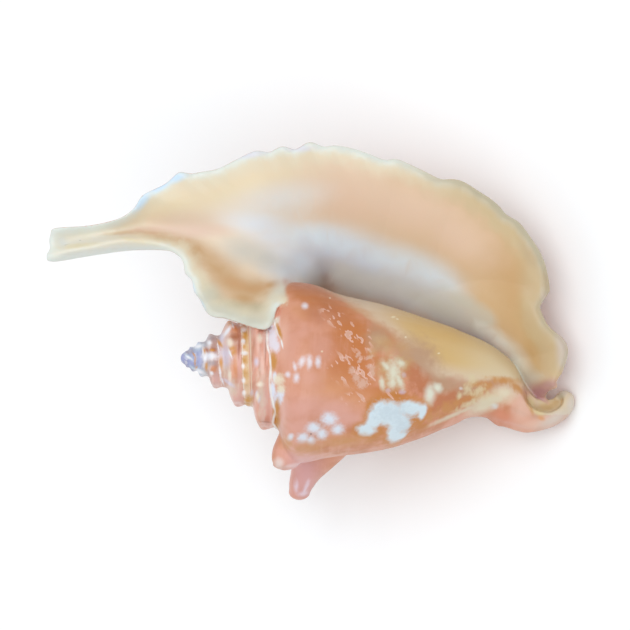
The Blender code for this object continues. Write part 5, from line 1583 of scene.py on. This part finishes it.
rimCoats = [
    {"colour": "e9dfc2", "follows": "rim", "from": 7.0, "to": 1.5, "strength": 0.7,
     "grain": "wide", "ragged": 2.0},
    {"colour": "c8ad7c", "follows": "rim", "from": 9.0, "to": 3.0, "strength": 0.85,
     "grain": "wide", "ragged": 2.0, "where": "farLip"},
    {"colour": "e3ebe6", "follows": "rim", "from": 3.2, "to": 0.2, "strength": 0.75,
     "grain": "middle", "ragged": 0.8, "where": "nearLip"},
    {"colour": "c2b89e", "follows": "rim", "from": 3.4, "to": 0.6, "strength": 0.9,
     "grain": "middle", "ragged": 0.6, "where": "farLip"},
]


def coatsOf(marks, where=None):      # marks as coats that follow their own fields, each over its halo
    coats = []
    for name, mark in marks.items():
        mark = {**plainMark, **mark}
        coat = {"follows": name, "grain": mark["grain"], "ragged": mark["ragged"], "where": where}
        if "halo" in mark:
            coats.append({**coat, **plainHalo, "colour": mark["halo"]})
        edges = {"from": -mark["soft"], "to": mark["soft"], "strength": mark["strength"]}
        coats.append({**coat, **edges, "colour": mark["colour"]})
    return coats


def layCoats(tree, sources, under, coats):   # each coat over the one before
    for coat in coats:
        value = sources[coat["follows"]]
        if coat.get("ragged"):
            value = addNode(tree, "ShaderNodeMath", {
                0: sources[coat["grain"]], 1: 2.0 * coat["ragged"], 2: value,
            }, operation="MULTIPLY_ADD").outputs[0]
            value = addNode(tree, "ShaderNodeMath", {
                0: value, 1: coat["ragged"],
            }, operation="SUBTRACT").outputs[0]
        mask = addNode(tree, "ShaderNodeMapRange", {
            0: value, 1: coat["from"], 2: coat["to"], 4: coat.get("strength", 1.0),
        }, interpolation_type="SMOOTHSTEP").outputs[0]
        if coat.get("where"):
            mask = addNode(tree, "ShaderNodeMath", {
                0: mask, 1: sources[coat["where"]],
            }, operation="MULTIPLY").outputs[0]
        under = addNode(tree, "ShaderNodeMix", {
            0: mask, 6: under, 7: linear(coat["colour"]),
        }, data_type="RGBA").outputs[2]
    return under


def paintShell(material, fields):
    material.use_nodes = True
    tree = material.node_tree
    tree.nodes.clear()
    place = addNode(tree, "ShaderNodeTexCoord").outputs["Object"]
    backTurn = turnMatrix.inverted()
    coordinates = {
        "own": addNode(tree, "ShaderNodeMapping", {
            "Vector": place, "Location": -(backTurn @ Vector(whole["tip"])) / mm,
            "Rotation": backTurn.to_euler(), "Scale": (1.0 / mm, 1.0 / mm, 1.0 / mm),
        }).outputs[0],
        "around": addNode(tree, "ShaderNodeAttribute", attribute_name="around").outputs["Vector"],
    }
    sources = {
        name: addNode(tree, "ShaderNodeAttribute", attribute_name=name).outputs["Fac"] for name in fields
    }
    for name, pattern in patterns.items():
        scaled = addNode(tree, "ShaderNodeMapping", {
            "Vector": coordinates[pattern["of"]], "Scale": pattern["grain"],
            "Rotation": (0.0, 0.0, math.radians(pattern.get("turn", 0.0))),
        }, vector_type="TEXTURE").outputs[0]
        sources[name] = addNode(tree, "ShaderNodeTexNoise", {
            "Vector": scaled, "Scale": 1.0, "Detail": pattern["detail"],
        }).outputs[0]

    outside = addNode(tree, "ShaderNodeRGB")
    outside.outputs[0].default_value = linear(glaze["outside"])
    inside = addNode(tree, "ShaderNodeRGB")
    inside.outputs[0].default_value = linear(glaze["inside"])
    outside = layCoats(tree, sources, outside.outputs[0], outsideCoats)
    spireBase = {"colour": glaze["spire"], "follows": "onSpire", "from": 0.0, "to": 0.5}
    whorls = layCoats(tree, sources, outside, [spireBase] + spireCoats)
    outside = addNode(tree, "ShaderNodeMix", {
        0: sources["onSpire"], 6: outside, 7: whorls,
    }, data_type="RGBA").outputs[2]
    outside = layCoats(tree, sources, outside, coatsOf(bodyMarks, "facing") + flakeCoats)
    lipCoats = insideCoats + coatsOf(lipMarks) + rimCoats + coatsOf(rimMarks)
    inside = layCoats(tree, sources, inside.outputs[0], lipCoats)
    colour = addNode(tree, "ShaderNodeMix", {
        0: sources["inner"], 6: outside, 7: inside,
    }, data_type="RGBA").outputs[2]
    (low, high), (smooth, dull) = glaze["roughnessOver"], glaze["roughness"]
    roughness = addNode(tree, "ShaderNodeMapRange", {
        0: sources["middle"], 1: low, 2: high, 3: smooth, 4: dull,
    }).outputs[0]
    growth = addNode(tree, "ShaderNodeBump", {
        "Height": sources["growth"], "Strength": glaze["growthStrength"],
        "Distance": glaze["growthHeight"] * mm,
    })
    pores = addNode(tree, "ShaderNodeBump", {
        "Height": sources["fine"], "Strength": glaze["poreStrength"],
        "Distance": glaze["poreHeight"] * mm, "Normal": growth.outputs[0],
    })
    skin = addNode(tree, "ShaderNodeBsdfPrincipled", {
        "Base Color": colour, "Roughness": roughness, "Normal": pores.outputs[0], "IOR": glaze["ior"],
        "Subsurface Weight": glaze["glow"], "Subsurface Radius": glaze["glowColours"],
        "Subsurface Scale": glaze["glowDepth"] * mm,
        "Coat Weight": glaze["gloss"], "Coat Roughness": glaze["glossRoughness"],
    })
    addNode(tree, "ShaderNodeOutputMaterial", {0: skin.outputs[0]})


paintShell(porcelain, paintFields(shell, worldPoints))
report("painted")

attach(shell, "root")
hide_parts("shell")

# Camera, looking into the opening as the shell is seen in the hand
view = {
    "middle": (40.5, 12.9),          # what lies in the middle of the picture, as the outlines are written
    "width": 189.0,                  # millimetres across the picture
    "distance": 2300.0,
    "sensor": 36.0,
    "transform": "Standard",
}
turn = math.radians(whole["axisFall"])
right = turnMatrix @ Vector((math.cos(turn), math.sin(turn), 0.0))
up = turnMatrix @ Vector((-math.sin(turn), math.cos(turn), 0.0))
back = turnMatrix @ Vector((0.0, 0.0, 1.0))
middle = toShell([view["middle"]])[0]
target = turnMatrix @ Vector((middle[0], middle[1], 0.0)) * mm + Vector(whole["tip"])
cameraData = bpy.data.cameras.new("camera")
cameraData.sensor_width = view["sensor"]
cameraData.lens = view["sensor"] * view["distance"] / view["width"]
camera = bpy.data.objects.new("camera", cameraData)
bpy.context.scene.collection.objects.link(camera)
pose = Matrix((right, up, back)).transposed().to_4x4()
pose.translation = target + back * view["distance"] * mm
camera.matrix_world = pose
bpy.context.scene.camera = camera

# Studio paper without a gloss: to the eye a plain pale ground that takes a soft shadow
ground = {
    "half": 4.0,                     # metres from its middle to its edges
    "colour": (0.97, 0.97, 0.97, 1.0),
    "roughness": 0.9,
}
half = ground["half"]
floorMesh = addSolid([(-half, -half, 0), (half, -half, 0), (half, half, 0), (-half, half, 0)], [(0, 1, 2, 3)])
floor = bpy.data.objects.new("floor", floorMesh)
bpy.context.scene.collection.objects.link(floor)
paper = bpy.data.materials.new("matt white paper")
paper.use_nodes = True
paperSurface = paper.node_tree.nodes["Principled BSDF"].inputs
paperSurface["Base Color"].default_value = ground["colour"]
paperSurface["Roughness"].default_value = ground["roughness"]
floorMesh.materials.append(paper)

# Lamps, in metres and watts, and the light of the room
lights = {
    "key": {"place": (0.15, 0.6, 1.85), "size": 1.6, "power": 10.9, "colour": (0.96, 0.985, 1.0)},
    "front": {"place": (0.85, -0.45, 1.8), "size": 1.6, "power": 9.2, "colour": (0.975, 0.99, 1.0)},
    "sky": {"place": (-1.2, 0.0, 1.1), "size": 1.4, "power": 3.6, "colour": (0.82, 0.91, 1.0)},
}
room = {"colour": (0.95, 0.98, 1.0, 1.0), "strength": 0.66}
for name, light in lights.items():
    data = bpy.data.lights.new(name, "AREA")
    data.shape = "DISK"
    data.size = light["size"]
    data.energy = light["power"]
    data.color = light["colour"]
    lamp = bpy.data.objects.new(name, data)
    bpy.context.scene.collection.objects.link(lamp)
    lamp.location = light["place"]
    lamp.rotation_euler = (Vector(light["place"]) - target).to_track_quat("Z", "Y").to_euler()
world = bpy.data.worlds.new("studio")
world.use_nodes = True
backdrop = world.node_tree.nodes["Background"].inputs
backdrop["Color"].default_value = room["colour"]
backdrop["Strength"].default_value = room["strength"]
bpy.context.scene.world = world
bpy.context.scene.view_settings.view_transform = view["transform"]

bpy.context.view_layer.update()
report("done")
